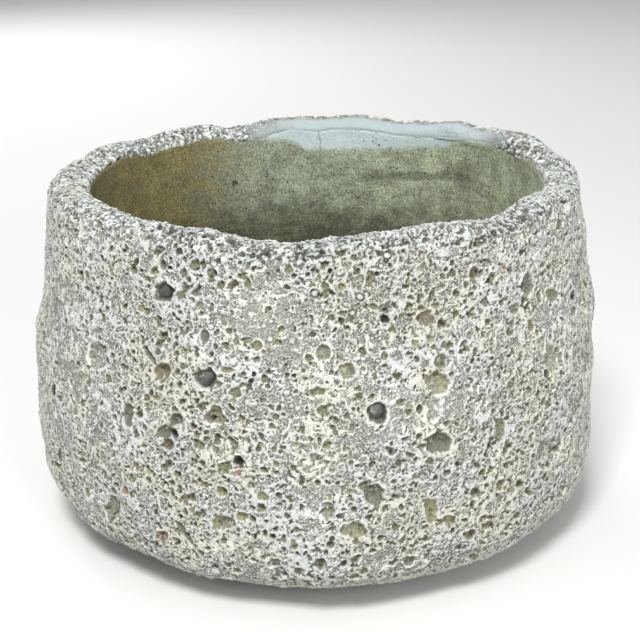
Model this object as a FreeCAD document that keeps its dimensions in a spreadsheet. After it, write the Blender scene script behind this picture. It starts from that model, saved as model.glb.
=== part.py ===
import FreeCAD, Part
import math
import os
import re
import Sketcher

os.makedirs("parts", exist_ok=True)

# A round planter of rough cast concrete, standing on a flat foot.
# +Z is up and the origin is the centre of the foot. The side seen in front faces -Y.
# Azimuths are in degrees from -Y, and grow towards +X.

doc = FreeCAD.newDocument("planter")

# Driving sizes in millimetres, and plain counts
sizes = {
    # outline
    "overall_width": 385.0,
    "crest_height": 232.4,
    "foot_inset": 77.5,
    "belly_height": 74.0,
    "shoulder_inset": 15.5,
    "shoulder_drop": 16.0,
    "rim_width": 26.3,
    "rim_wave": 8.0,
    "wall_swell": 2.2,
    # coats of the wall
    "lip_depth": 17.0,
    "skim_wall": 3.0,
    "backing_wall": 9.3,
    "wall_lean": 10.5,
    "cove_radius": 12.0,
    # floor
    "facing_floor": 14.0,
    "slab_depth": 14.0,
    "foot_ring": 15.0,
    # drain
    "drain_bore": 19.0,
    "sleeve_wall": 2.0,
    "collar_width": 34.0,
    "collar_depth": 2.5,
    # wire cage
    "wire_size": 2.5,
    "tie_size": 1.0,
    "wire_seat": 0.3,
    "hoop_drop": 22.0,
    "hoop_rise": 24.0,
    "upright_drop": 10.0,
    "bend_radius": 6.0,
    "wire_foot": 34.0,
    "upright_count": 8,
    # surface
    "crater_size": 12.0,
    "stone_size": 10.0,
    "cut_overrun": 5.0,
}

sheet = doc.addObject("Spreadsheet::Sheet", "Sizes")
for row, (alias, value) in enumerate(sizes.items(), start=1):
    sheet.set(f"A{row}", alias)
    sheet.set(f"B{row}", str(value))
    sheet.setAlias(f"B{row}", alias)
doc.recompute()


# A formula over the sheet's names, as a FreeCAD expression and as its value
def bound(formula):
    return re.sub("[a-z_]+", lambda word: f"Sizes.{word[0]}" if word[0] in sizes else word[0], formula)


def size(formula):
    result = sheet.evalExpression(bound(formula))
    return float(getattr(result, "Value", result))


# Places that several pieces share, as formulas
foot = "( overall_width / 2 - foot_inset )"
shoulder = "( overall_width / 2 - shoulder_inset )"
opening = f"( {shoulder} - rim_width )"
throat = f"( {foot} - foot_ring )"
lining_back = f"( {opening} + skim_wall )"
backing_back = f"( {lining_back} + backing_wall )"
ledge = "( crest_height - lip_depth )"
slab_top = "( facing_floor + slab_depth )"
floor_top = f"( {slab_top} + skim_wall )"
sleeve_radius = "( drain_bore / 2 + sleeve_wall )"


def leaning(radius, height):
    """Radius of a leaning wall face at a height, from its radius at the ledge under the rim's lip."""
    return f"( {radius} - wall_lean * ( {ledge} - {height} ) / ( {ledge} - facing_floor ) )"


# Adds a sketch on one of the body's origin planes
def new_sketch(body, name, role):
    sketch = body.newObject("Sketcher::SketchObject", name)
    plane = next(f for f in body.Origin.OriginFeatures if f.Role == role)
    sketch.AttachmentSupport = [(plane, "")]
    sketch.MapMode = "FlatFace"
    return sketch


# Draws a closed outline whose corners are bound to formulas
def draw_outline(sketch, corners):
    points = [FreeCAD.Vector(size(across), size(up), 0) for across, up in corners]
    count = len(points)
    for index in range(count):
        sketch.addGeometry(Part.LineSegment(points[index], points[(index + 1) % count]), False)
    for index in range(count):
        sketch.addConstraint(Sketcher.Constraint("Coincident", index, 2, (index + 1) % count, 1))
    for index, (across, up) in enumerate(corners):
        for direction, formula, value in (
            ("DistanceX", across, points[index].x),
            ("DistanceY", up, points[index].y),
        ):
            place = sketch.addConstraint(Sketcher.Constraint(direction, -1, 1, index, 1, value))
            sketch.setExpression(f"Constraints[{place}]", bound(formula))


# A body turned about the Z axis from a closed outline of (radius, height) corners
def turned_body(name, corners):
    body = doc.addObject("PartDesign::Body", name)
    sketch = new_sketch(body, f"{name}_outline", "XZ_Plane")
    draw_outline(sketch, corners)
    turn = body.newObject("PartDesign::Revolution", f"{name}_turn")
    turn.Profile = sketch
    turn.ReferenceAxis = (sketch, ["V_Axis"])
    turn.Angle = 360
    doc.recompute()
    return body


def joined(name, pieces):
    fuse = doc.addObject("Part::MultiFuse", name)
    fuse.Shapes = pieces
    return fuse


def cut(name, base, tool):
    result = doc.addObject("Part::Cut", name)
    result.Base = base
    result.Tool = tool
    doc.recompute()
    return result


# Facing coat: the outline of one radial section, as shares.
# Below the belly: radius from foot to belly, height up to the belly.
foot_curve_shares = ((0, 0), (0.23, 0.062), (0.69, 0.19), (0.90, 0.37), (0.98, 0.62))
# Above the belly: radius from shoulder to belly, height from belly to shoulder.
side_curve_shares = ((1, 0), (0.93, 0.23), (0.69, 0.49), (0.22, 0.79), (0, 1))
# Over the rim: width from the opening to the shoulder, drop below the crest.
rim_curve_shares = ((1, 1), (0.94, 0.42), (0.80, 0.12), (0.58, 0), (0.28, 0.08), (0.07, 0.22), (0, 0.40))

# Height of the rim's crest round the planter, every 6 degrees from the back, as shares of rim_wave
crest_wave_shares = (
    0.24, 0.24, 0.15, -0.30, -0.56, -0.12, 0.00, -0.05, -0.30, -0.25,
    0.00, 0.25, 0.12, 0.00, -0.18, -0.25, -0.12, 0.00, 0.06, 0.12,
    0.16, 0.18, 0.10, 0.12, 0.16, 0.22, 0.34, 0.10, -0.22, -0.32,
    -0.04, 0.22, 0.38, 0.55, 0.75, 0.54, 0.22, 0.14, 0.52, 0.85,
    0.75, 0.50, 0.38, 0.38, 0.38, 0.38, 0.44, 0.50, 0.56, 0.94,
    0.90, 0.78, 0.65, 0.56, 0.46, 0.31, 0.15, 0.31, 0.48, 0.40,
)
# Broad unevenness of the wall, as waves: how many run round it, how many rise from foot to crest, where
# the wave starts in degrees, and its share of wall_swell
wave_shares = (
    (1, 0, 180, 0.35),
    (3, 0.8, 60, 0.25),
    (7, -1.2, 200, 0.30),
    (11, 1.4, 320, 0.30),
    (14, -1.7, 90, 0.25),
)
# Single bumps and hollows: azimuth, height as a share of crest_height, half width in degrees, half height
# as a share of crest_height, and share of wall_swell
bump_shares = (
    (-92, 0.38, 16, 0.14, 0.6),
    (-90, 0.88, 20, 0.09, 1.0),
    (-90, 0.70, 16, 0.07, -0.5),
    (84, 0.70, 12, 0.06, 0.5),
    (80, 0.13, 16, 0.07, 0.8),
)
# The unevenness grows from nothing at the foot to its full size at this share of crest_height
even_foot_share = 0.1


# Value between the entries of a table that runs round the planter from the back
def round_share(shares, azimuth):
    place = (azimuth + 180) / 360 * len(shares)
    index = math.floor(place)
    part = (1 - math.cos(math.pi * (place - index))) / 2
    return shares[index % len(shares)] * (1 - part) + shares[(index + 1) % len(shares)] * part


def radial(azimuth, radius, height):
    turn = math.radians(azimuth)
    return FreeCAD.Vector(radius * math.sin(turn), -radius * math.cos(turn), height)


# How far the wall stands out of its round form at an azimuth and a height
def unevenness(azimuth, height):
    up = height / size("crest_height")
    total = 0
    for turns, rises, start, share in wave_shares:
        total += share * math.sin(math.radians(turns * azimuth + 360 * rises * up + start))
    for middle, level, half_turn, half_height, share in bump_shares:
        turn = (azimuth - middle + 180) % 360 - 180
        total += share * math.exp(-((turn / half_turn) ** 2) - ((up - level) / half_height) ** 2)
    return size("wall_swell") * total * min(up / even_foot_share, 1)


# The three curves of a section: (radius, height) points from the foot up, round the side and over the rim
def section_curves(azimuth):
    foot_radius = size(foot)
    inner_radius = size(opening)
    belly_radius = size("overall_width / 2")
    shoulder_radius = size(shoulder)
    belly_height = size("belly_height")
    crest = size("crest_height") + size("rim_wave") * round_share(crest_wave_shares, azimuth)
    drop = size("shoulder_drop")
    side_height = crest - drop - belly_height
    flare = belly_radius - foot_radius
    taper = belly_radius - shoulder_radius
    lower = [(foot_radius + flare * across, belly_height * up) for across, up in foot_curve_shares]
    side = [
        (shoulder_radius + taper * across, belly_height + side_height * up)
        for across, up in side_curve_shares
    ]
    outer = [(radius + unevenness(azimuth, height), height) for radius, height in lower + side]
    rim_reach = outer[-1][0] - inner_radius
    rim = [(inner_radius + rim_reach * across, crest - drop * down) for across, down in rim_curve_shares]
    return outer, rim


# Running lengths along a curve's points. All sections use the same ones, which keeps the loft plain.
def running_lengths(points):
    lengths = [0.0]
    for start, end in zip(points, points[1:]):
        lengths.append(lengths[-1] + math.dist(start, end))
    return lengths


def section_curve(azimuth, points, lengths):
    curve = Part.BSplineCurve()
    places = [radial(azimuth, radius, height) for radius, height in points]
    curve.interpolate(Points=places, Parameters=lengths)
    return curve


def line_edges(azimuth, points):
    places = [radial(azimuth, radius, height) for radius, height in points]
    return [Part.makeLine(start, end) for start, end in zip(places, places[1:])]


outer_lengths, rim_lengths = [running_lengths(points) for points in section_curves(0)]


# One closed radial section. Its inner side lies inside the space that is cut out later, but for the lip.
def section_wire(azimuth):
    outer, rim = section_curves(azimuth)
    inner_radius = size(opening)
    hole_radius = size(f"{throat} - cut_overrun")
    bottom = size("facing_floor + slab_depth / 2")
    inside = [rim[-1], (inner_radius, bottom), (hole_radius, bottom), (hole_radius, 0), outer[0]]
    curves = [
        section_curve(azimuth, outer, outer_lengths).toShape(),
        section_curve(azimuth, rim, rim_lengths).toShape(),
    ]
    return Part.Wire(curves + line_edges(azimuth, inside))


def wall_loft():
    step = 360 / len(crest_wave_shares)
    wires = [section_wire(-180 + step * index) for index in range(len(crest_wave_shares))]
    return Part.makeLoft(wires, True, False, True)


# The wall's whole form, and the space inside it that the other pieces fill
wall_form = doc.addObject("Part::Feature", "wall_form")
wall_form.Shape = wall_loft()
filled_space = turned_body("filled_space", [
    ("0", "0 - cut_overrun"),
    (throat, "0 - cut_overrun"),
    (throat, "facing_floor"),
    (leaning(backing_back, "facing_floor"), "facing_floor"),
    (backing_back, ledge),
    ("0", ledge),
])


halving_count = 40


# Rotation that turns local Z outwards, local X round the planter and local Y up
def facing_out(azimuth, tilt=0):
    turn = math.radians(azimuth)
    across = FreeCAD.Vector(math.cos(turn), math.sin(turn), 0)
    outward = radial(azimuth, 1, 0)
    upright = FreeCAD.Rotation(across, FreeCAD.Vector(0, 0, 1), outward, "ZXY")
    return upright.multiply(FreeCAD.Rotation(FreeCAD.Vector(0, 0, 1), tilt))


# Radius of the wall's outside at a height, found on the section's own curve by halving
def outside_radius(azimuth, height):
    outer, rim = section_curves(azimuth)
    points, lengths = (outer, outer_lengths) if height < outer[-1][1] else (rim, rim_lengths)
    curve = section_curve(azimuth, points, lengths)
    highest = max(points, key=lambda point: point[1])
    low, high = lengths[0], lengths[points.index(highest)]
    for _ in range(halving_count):
        middle = (low + high) / 2
        if curve.value(middle).z < height:
            low = middle
        else:
            high = middle
    place = curve.value(low)
    return math.hypot(place.x, place.y)


# A rounded form lying in the wall's surface: its width, height and depth as formulas
def surface_form(name, azimuth, height_share, width, height, depth, sink="0", tilt=0):
    form = doc.addObject("Part::Ellipsoid", name)
    form.setExpression("Radius1", bound(depth))
    form.setExpression("Radius2", bound(f"{width} / 2"))
    form.setExpression("Radius3", bound(f"{height} / 2"))
    level = height_share * size("crest_height")
    place = radial(azimuth, outside_radius(azimuth, level) - size(sink), level)
    form.Placement = FreeCAD.Placement(place, facing_out(azimuth, tilt))
    return form


# The large pits: azimuth, height as a share of crest_height, then width, height and depth as shares
# of crater_size, and the tilt of the long side
crater_shares = (
    (-29.5, 0.857, 0.95, 0.95, 0.45, 0),
    (-44.5, 0.66, 1.30, 1.50, 0.40, 0),
    (-28.5, 0.655, 0.95, 1.00, 0.40, 0),
    (-32, 0.695, 0.55, 1.30, 0.30, 45),
    (-20, 0.658, 1.10, 1.05, 0.55, 0),
    (-60.5, 0.49, 0.45, 0.95, 0.35, 0),
    (-36, 0.53, 0.75, 1.20, 0.40, 0),
    (-26, 0.52, 1.00, 1.60, 0.28, -20),
    (-18, 0.575, 1.15, 0.80, 0.40, 0),
    (-17.5, 0.515, 0.80, 1.00, 0.35, 0),
    (-14, 0.46, 0.50, 0.50, 0.35, 0),
    (-16.5, 0.29, 1.30, 0.80, 0.35, 10),
    (-29.5, 0.21, 0.80, 0.70, 0.35, 0),
    (-23.5, 0.205, 0.55, 1.35, 0.25, -35),
    (-40, 0.245, 0.85, 1.30, 0.45, 0),
    (-60, 0.29, 0.45, 0.80, 0.35, 0),
    (10.5, 0.592, 0.90, 1.00, 0.50, 0),
    (21, 0.50, 1.35, 1.05, 0.50, 0),
    (10, 0.377, 1.05, 1.00, 0.42, 0),
    (20.5, 0.318, 0.80, 1.20, 0.35, 0),
    (24, 0.272, 0.75, 0.65, 0.35, 0),
    (6.5, 0.28, 1.15, 0.85, 0.35, 0),
    (0, 0.35, 0.65, 0.95, 0.25, 0),
    (34.5, 0.485, 0.80, 1.10, 0.35, 0),
    (47, 0.365, 1.70, 2.00, 0.30, -35),
    (38.5, 0.305, 0.60, 0.55, 0.35, 0),
    (50, 0.613, 1.40, 1.35, 0.40, 0),
    (44.5, 0.838, 0.95, 1.10, 0.40, 0),
    (57, 0.78, 0.85, 0.80, 0.35, 0),
    (12.5, 0.82, 0.50, 0.50, 0.45, 0),
    (20, 0.812, 0.95, 0.85, 0.30, 0),
    (0.8, 0.74, 0.75, 0.65, 0.30, 0),
    (5.5, 0.693, 0.75, 0.75, 0.30, 0),
    (21.5, 0.645, 1.15, 1.00, 0.30, 0),
    (18, 0.59, 1.10, 1.15, 0.25, 0),
    (-1, 0.46, 1.35, 1.00, 0.22, 0),
    (-21, 0.76, 0.50, 0.70, 0.30, 0),
    (-12.5, 0.763, 0.60, 0.35, 0.30, 0),
    (30.5, 0.875, 0.60, 0.55, 0.35, 0),
    (-7.5, 0.18, 0.60, 0.50, 0.30, 0),
    (16.5, 0.17, 0.60, 0.50, 0.30, 0),
)
# The side away from view carries pits of the same kind: how many, where they start, and their sizes
back_crater_count = 26
back_start = 74
back_span = 212
back_width_shares = (0.9, 1.25, 0.6, 1.05, 0.75, 1.4, 0.55)
back_depth_shares = (0.40, 0.30, 0.45, 0.35)
back_height_shares = (0.20, 0.90)

craters = []
for index, (azimuth, up, width, height, depth, tilt) in enumerate(crater_shares):
    craters.append(surface_form(
        f"crater_{index + 1}", azimuth, up, f"crater_size * {width}", f"crater_size * {height}",
        f"crater_size * {depth}", tilt=tilt,
    ))
golden = (math.sqrt(5) - 1) / 2
low_share, high_share = back_height_shares
for index in range(back_crater_count):
    azimuth = back_start + back_span * (index + golden) / (back_crater_count + 1)
    up = low_share + (high_share - low_share) * ((index * golden) % 1)
    width = back_width_shares[index % len(back_width_shares)]
    depth = back_depth_shares[index % len(back_depth_shares)]
    craters.append(surface_form(
        f"back_crater_{index + 1}", azimuth, up, f"crater_size * {width}", f"crater_size * {width}",
        f"crater_size * {depth}",
    ))
crater_forms = joined("crater_forms", craters)

# Dark stones that lie in four of the pits: the pit's place in its table, how far the stone lies to
# the side of the pit's middle as a share of crater_size, then the stone's width, height and depth as
# shares of stone_size, and the sink of its middle below the surface
stone_shares = (
    (16, 0, 0.95, 1.05, 0.55, 0.65),
    (0, 0, 0.95, 0.90, 0.55, 0.62),
    (4, 0, 1.05, 1.00, 0.60, 0.78),
    (17, -0.56, 0.65, 0.80, 0.50, 0.68),
)
stones = []
for index, (pit, aside, width, height, depth, sink) in enumerate(stone_shares):
    middle, up = crater_shares[pit][:2]
    pit_radius = outside_radius(middle, up * size("crest_height"))
    azimuth = middle + math.degrees(size(f"crater_size * {aside}") / pit_radius)
    stones.append(surface_form(
        f"stone_{index + 1}", azimuth, up, f"stone_size * {width}", f"stone_size * {height}",
        f"stone_size * {depth}", sink=f"stone_size * {sink}",
    ))

# Wire cage, pressed half into the facing coat before the backing coat goes on
wire_seat_radius = "( wire_size / 2 + wire_seat )"
hoop_top_height = f"( {ledge} - hoop_drop )"
hoop_base_height = f"( {slab_top} + hoop_rise )"
hoop_heights = {
    "hoop_top": hoop_top_height,
    "hoop_middle": f"( ( {hoop_top_height} + {hoop_base_height} ) / 2 )",
    "hoop_base": hoop_base_height,
}


def ring(name, height, radius):
    hoop = doc.addObject("Part::Torus", name)
    hoop.setExpression("Radius1", bound(leaning(backing_back, height)))
    hoop.setExpression("Radius2", bound(radius))
    hoop.setExpression("Placement.Base.z", bound(height))
    return hoop


hoops = [ring(name, height, "wire_size / 2") for name, height in hoop_heights.items()]
hoop_seats = [ring(f"{name}_seat", height, wire_seat_radius) for name, height in hoop_heights.items()]

# An upright wire stands inside the hoops, and its foot is bent inwards into the floor slab
upright_inset = "( wire_size + 2 * wire_seat )"
foot_height = f"( {slab_top} - wire_size / 2 )"
upright_top = f"( {ledge} - upright_drop )"


def upright_radius(height):
    return f"( {leaning(backing_back, height)} - {upright_inset} )"


def bent_wire(name, wire_radius, azimuth):
    body = doc.addObject("PartDesign::Body", name)
    path = new_sketch(body, f"{name}_path", "XZ_Plane")
    heel = size(upright_radius(foot_height))
    level = size(foot_height)
    bend = size("bend_radius")
    toe_place = f"( {upright_radius(foot_height)} - wire_foot )"
    toe = FreeCAD.Vector(size(toe_place), level, 0)
    top = FreeCAD.Vector(size(upright_radius(upright_top)), size(upright_top), 0)
    lean = f"( 90 deg - atan( wall_lean / ( {ledge} - facing_floor ) ) )"
    slope = math.radians(size(lean))
    reach = bend * math.tan((math.pi - (math.pi - slope)) / 2)
    bend_start = FreeCAD.Vector(heel - reach, level, 0)
    bend_end = FreeCAD.Vector(heel + reach * math.cos(slope), level + reach * math.sin(slope), 0)
    centre = FreeCAD.Vector(bend_start.x, level + bend, 0)
    arc = Part.ArcOfCircle(Part.Circle(centre, FreeCAD.Vector(0, 0, 1), bend), -math.pi / 2, slope - math.pi / 2)
    foot_line = path.addGeometry(Part.LineSegment(toe, bend_start), False)
    bend_arc = path.addGeometry(arc, False)
    leg_line = path.addGeometry(Part.LineSegment(bend_end, top), False)
    path.addConstraint(Sketcher.Constraint("Horizontal", foot_line))
    path.addConstraint(Sketcher.Constraint("Tangent", foot_line, 2, bend_arc, 1))
    path.addConstraint(Sketcher.Constraint("Tangent", bend_arc, 2, leg_line, 1))
    for kind, geometry, formula, value in (
        ("DistanceX", (foot_line, 1), toe_place, toe.x),
        ("DistanceY", (foot_line, 1), foot_height, toe.y),
        ("DistanceX", (leg_line, 2), upright_radius(upright_top), top.x),
        ("DistanceY", (leg_line, 2), upright_top, top.y),
    ):
        place = path.addConstraint(Sketcher.Constraint(kind, -1, 1, *geometry, value))
        path.setExpression(f"Constraints[{place}]", bound(formula))
    place = path.addConstraint(Sketcher.Constraint("Radius", bend_arc, bend))
    path.setExpression(f"Constraints[{place}]", bound("bend_radius"))
    place = path.addConstraint(Sketcher.Constraint("Angle", leg_line, slope))
    path.setExpression(f"Constraints[{place}]", bound(lean))
    section = new_sketch(body, f"{name}_section", "YZ_Plane")
    section.setExpression("AttachmentOffset.Base.z", bound(toe_place))
    circle = section.addGeometry(Part.Circle(FreeCAD.Vector(0, level, 0), FreeCAD.Vector(0, 0, 1), size(wire_radius)))
    section.addConstraint(Sketcher.Constraint("PointOnObject", circle, 3, -2))
    place = section.addConstraint(Sketcher.Constraint("DistanceY", -1, 1, circle, 3, level))
    section.setExpression(f"Constraints[{place}]", bound(foot_height))
    place = section.addConstraint(Sketcher.Constraint("Radius", circle, size(wire_radius)))
    section.setExpression(f"Constraints[{place}]", bound(wire_radius))
    doc.recompute()
    pipe = body.newObject("PartDesign::AdditivePipe", f"{name}_pipe")
    pipe.Profile = section
    pipe.Spine = path
    body.Placement = FreeCAD.Placement(FreeCAD.Vector(0, 0, 0), FreeCAD.Rotation(FreeCAD.Vector(0, 0, 1), azimuth))
    return body


upright_count = int(size("upright_count"))
upright_step = 360 / upright_count
upright_azimuths = [upright_step * (index + 0.5) for index in range(upright_count)]
uprights = []
upright_seats = []
for index, azimuth in enumerate(upright_azimuths, start=1):
    uprights.append(bent_wire(f"upright_{index}", "wire_size / 2", azimuth))
    upright_seats.append(bent_wire(f"upright_{index}_seat", wire_seat_radius, azimuth))
doc.recompute()

# Wire twists round every other crossing of hoop and upright
tie_loop = "( wire_size + 2 * wire_seat + tie_size / 2 )"


def tie_ring(name, height, azimuth, wire_radius):
    tie = doc.addObject("Part::Torus", name)
    tie.setExpression("Radius1", bound(tie_loop))
    tie.setExpression("Radius2", bound(wire_radius))
    turn = math.radians(azimuth)
    middle = size(f"{leaning(backing_back, height)} - {upright_inset} / 2")
    place = FreeCAD.Vector(middle * math.cos(turn), middle * math.sin(turn), size(height))
    outward = FreeCAD.Vector(math.cos(turn), math.sin(turn), 0)
    round_wall = FreeCAD.Vector(-math.sin(turn), math.cos(turn), 0)
    slant = round_wall - FreeCAD.Vector(0, 0, 1)
    across = slant.cross(outward)
    tie.Placement = FreeCAD.Placement(place, FreeCAD.Rotation(outward, across, slant, "ZXY"))
    return tie


ties = []
tie_seats = []
for row, height in enumerate(hoop_heights.values()):
    for index, azimuth in enumerate(upright_azimuths):
        if (index + row) % 2:
            continue
        ties.append(tie_ring(f"tie_{row}_{index}", height, azimuth, "tie_size / 2"))
        tie_seats.append(tie_ring(f"tie_{row}_{index}_seat", height, azimuth, "tie_size / 2 + wire_seat"))
wire_ties = doc.addObject("Part::Compound", "wire_ties")
wire_ties.Links = ties

# The facing coat: the wall's form without the filled space, the pits, the stones and the wires' seats
wall_seats = joined("wall_seats", hoop_seats + tie_seats)
hollow_wall = cut("hollow_wall", wall_form, filled_space)
pitted_wall = cut("pitted_wall", hollow_wall, crater_forms)
bedded_wall = cut("bedded_wall", pitted_wall, joined("stone_beds", stones))
outer_shell = cut("outer_shell", bedded_wall, wall_seats)

# The backing coat, with the whole cage bedded in it
backing_form = turned_body("backing_form", [
    (leaning(lining_back, slab_top), slab_top),
    (leaning(backing_back, slab_top), slab_top),
    (backing_back, ledge),
    (lining_back, ledge),
])
cage_seats = joined("cage_seats", hoop_seats + upright_seats + tie_seats)
backing_coat = cut("backing_coat", backing_form, cage_seats)

# The floor slab, with its boss down through the facing coat and a seat for the sleeve's collar
collar_seat = f"( {slab_top} - collar_depth )"
slab_form = turned_body("slab_form", [
    (sleeve_radius, "0"),
    (throat, "0"),
    (throat, "facing_floor"),
    (leaning(backing_back, "facing_floor"), "facing_floor"),
    (leaning(backing_back, slab_top), slab_top),
    ("collar_width / 2", slab_top),
    ("collar_width / 2", collar_seat),
    (sleeve_radius, collar_seat),
])
floor_slab = cut("floor_slab", slab_form, joined("foot_seats", upright_seats))

# The smooth lining, a thin cup with a cove where the wall meets the floor
inner_lining = turned_body("inner_lining", [
    (sleeve_radius, slab_top),
    (leaning(lining_back, slab_top), slab_top),
    (lining_back, ledge),
    (opening, ledge),
    (leaning(opening, floor_top), floor_top),
    (sleeve_radius, floor_top),
])


def edge_at(shape, radius, height):
    for index, edge in enumerate(shape.Edges, start=1):
        centre = edge.CenterOfMass
        low, high = edge.BoundBox.ZMin, edge.BoundBox.ZMax
        if abs(low - height) < radius / 1e6 and abs(high - height) < radius / 1e6 and edge.Length > 0:
            if abs(edge.BoundBox.XMax - radius) < radius / 1e4 and abs(centre.x) < radius / 1e4:
                return f"Edge{index}"
    raise ValueError("no such edge")


lining_turn = inner_lining.Tip
cove = inner_lining.newObject("PartDesign::Fillet", "lining_cove")
cove.Base = (lining_turn, [edge_at(lining_turn.Shape, size(leaning(opening, floor_top)), size(floor_top))])
cove.setExpression("Radius", bound("cove_radius"))

# The sleeve that forms the drain hole, with a collar that locks it in the slab
drain_sleeve = turned_body("drain_sleeve", [
    ("drain_bore / 2", "0"),
    (sleeve_radius, "0"),
    (sleeve_radius, collar_seat),
    ("collar_width / 2", collar_seat),
    ("collar_width / 2", slab_top),
    (sleeve_radius, slab_top),
    (sleeve_radius, floor_top),
    ("drain_bore / 2", floor_top),
])

doc.recompute()

pieces = [outer_shell, backing_coat, inner_lining, floor_slab, drain_sleeve, wire_ties]
pieces += stones + hoops + uprights

for item in doc.Objects:
    if "Invalid" in item.State or "Error" in item.State:
        raise RuntimeError(f"{item.Name} failed: {item.State}")
for piece in pieces:
    if piece.Shape.isNull() or not piece.Shape.isValid():
        raise RuntimeError(f"{piece.Name} has no valid shape")
    piece.Label = piece.Name
    piece.Shape.exportStep(f"parts/{piece.Label}.step")
    print(piece.Label, len(piece.Shape.Solids), "solids", round(piece.Shape.Volume / 1000, 3), "cm3")
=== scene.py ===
import math

import bmesh
import bpy
import numpy as np
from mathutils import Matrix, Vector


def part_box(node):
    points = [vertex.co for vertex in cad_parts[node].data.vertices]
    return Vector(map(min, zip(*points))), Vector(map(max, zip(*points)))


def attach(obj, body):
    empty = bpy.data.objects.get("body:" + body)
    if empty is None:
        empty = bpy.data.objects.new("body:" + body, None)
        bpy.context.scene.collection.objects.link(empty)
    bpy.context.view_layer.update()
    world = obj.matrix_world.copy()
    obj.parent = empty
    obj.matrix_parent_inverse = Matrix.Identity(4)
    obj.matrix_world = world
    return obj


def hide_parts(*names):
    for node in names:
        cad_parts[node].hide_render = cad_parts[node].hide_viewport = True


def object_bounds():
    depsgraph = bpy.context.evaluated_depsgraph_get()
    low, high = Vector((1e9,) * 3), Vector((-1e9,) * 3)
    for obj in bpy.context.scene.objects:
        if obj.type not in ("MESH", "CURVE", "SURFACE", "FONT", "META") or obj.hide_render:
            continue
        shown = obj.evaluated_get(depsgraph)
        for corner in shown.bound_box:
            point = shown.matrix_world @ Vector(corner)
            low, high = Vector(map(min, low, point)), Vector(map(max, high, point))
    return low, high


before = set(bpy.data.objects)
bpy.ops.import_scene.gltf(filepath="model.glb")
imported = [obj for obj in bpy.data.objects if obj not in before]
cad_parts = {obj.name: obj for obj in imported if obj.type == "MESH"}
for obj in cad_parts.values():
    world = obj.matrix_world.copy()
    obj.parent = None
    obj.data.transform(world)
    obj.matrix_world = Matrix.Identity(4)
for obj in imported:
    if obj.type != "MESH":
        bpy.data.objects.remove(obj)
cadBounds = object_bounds()
cadLow, cadHigh = (np.array(corner) * 1000 for corner in cadBounds)

# The planter's form in millimetres, turned about the Z axis. Azimuths are in degrees from -Y towards +X.
wallForm = {
    "overallWidth": 385.0,
    "crestHeight": 232.4,
    "footWidth": 230.0,
    "throatWidth": 200.0,
    "bellyHeight": 74.0,
    "shoulderWidth": 354.0,
    "shoulderDrop": 16.0,
    "openingWidth": 301.4,
    "rimWave": 8.0,
    "wallSwell": 2.2,
    # shares of the width from foot to belly, and of the belly's height
    "footCurve": ((0, 0), (0.23, 0.062), (0.69, 0.19), (0.90, 0.37), (0.98, 0.62)),
    # shares of the width from shoulder to belly, and of the height from belly to shoulder
    "sideCurve": ((1, 0), (0.93, 0.23), (0.69, 0.49), (0.22, 0.79), (0, 1)),
    # shares of the width from opening to shoulder, and of the drop below the crest
    "rimCurve": ((1, 1), (0.94, 0.42), (0.80, 0.12), (0.58, 0), (0.28, 0.08), (0.07, 0.22), (0, 0.40)),
    # height of the crest every 6 degrees from the back, as shares of the wave
    "crestWave": (
        0.24, 0.24, 0.15, -0.30, -0.56, -0.12, 0.00, -0.05, -0.30, -0.25,
        0.00, 0.25, 0.12, 0.00, -0.18, -0.25, -0.12, 0.00, 0.06, 0.12,
        0.16, 0.18, 0.10, 0.12, 0.16, 0.22, 0.34, 0.10, -0.22, -0.32,
        -0.04, 0.22, 0.38, 0.55, 0.75, 0.54, 0.22, 0.14, 0.52, 0.85,
        0.75, 0.50, 0.38, 0.38, 0.38, 0.38, 0.44, 0.50, 0.56, 0.94,
        0.90, 0.78, 0.65, 0.56, 0.46, 0.31, 0.15, 0.31, 0.48, 0.40,
    ),
    # broad waves of the wall: turns round it, rises up it, start in degrees, share of the swell
    "waves": (
        (1, 0, 180, 0.35), (3, 0.8, 60, 0.25), (7, -1.2, 200, 0.30), (11, 1.4, 320, 0.30),
        (14, -1.7, 90, 0.25),
    ),
    # single bumps: azimuth, share of the height, half width in degrees, half height, share of the swell
    "bumps": (
        (-92, 0.38, 16, 0.14, 0.6), (-90, 0.88, 20, 0.09, 1.0), (-90, 0.70, 16, 0.07, -0.5),
        (84, 0.70, 12, 0.06, 0.5), (80, 0.13, 16, 0.07, 0.8),
    ),
    "evenFoot": 0.1,
}

# How finely the facing is modelled, in millimetres along the surface
meshForm = {
    "rowStep": 0.7, "frontStep": 0.7, "backStep": 1.2, "rimStep": 0.75, "lipDepth": 15.0, "footStep": 1.2,
}

# Where the photographed view stands, in millimetres, and its picture frame, in pixels
photoView = {
    "distance": 873.6,
    "height": 446.4,
    "pitch": 20.2,
    "focal": 1334.0,
    "axisX": 316.5,
    "middle": 320.0,
    "frameWidth": 640.0,
    "sensor": 36.0,
    "leastFacing": 0.05,
}

# What stirs a cell's place and a seed into an even spread
hashMix = {
    "x": 73856093, "y": 19349663, "z": 83492791, "seed": 97531,
    "stir": 2246822519, "fold": 15, "range": 2 ** 32,
}


# An evenly spread number from 0 to 1 for each cell
def cellValue(cells, seed):
    code = np.full(cells.shape[:-1], seed * hashMix["seed"] % hashMix["range"], dtype=np.uint32)
    for axis, name in enumerate("xyz"):
        code ^= cells[..., axis].astype(np.uint32) * np.uint32(hashMix[name])
        code ^= code >> np.uint32(hashMix["fold"])
        code *= np.uint32(hashMix["stir"])
    code ^= code >> np.uint32(hashMix["fold"])
    return code / hashMix["range"]


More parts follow.
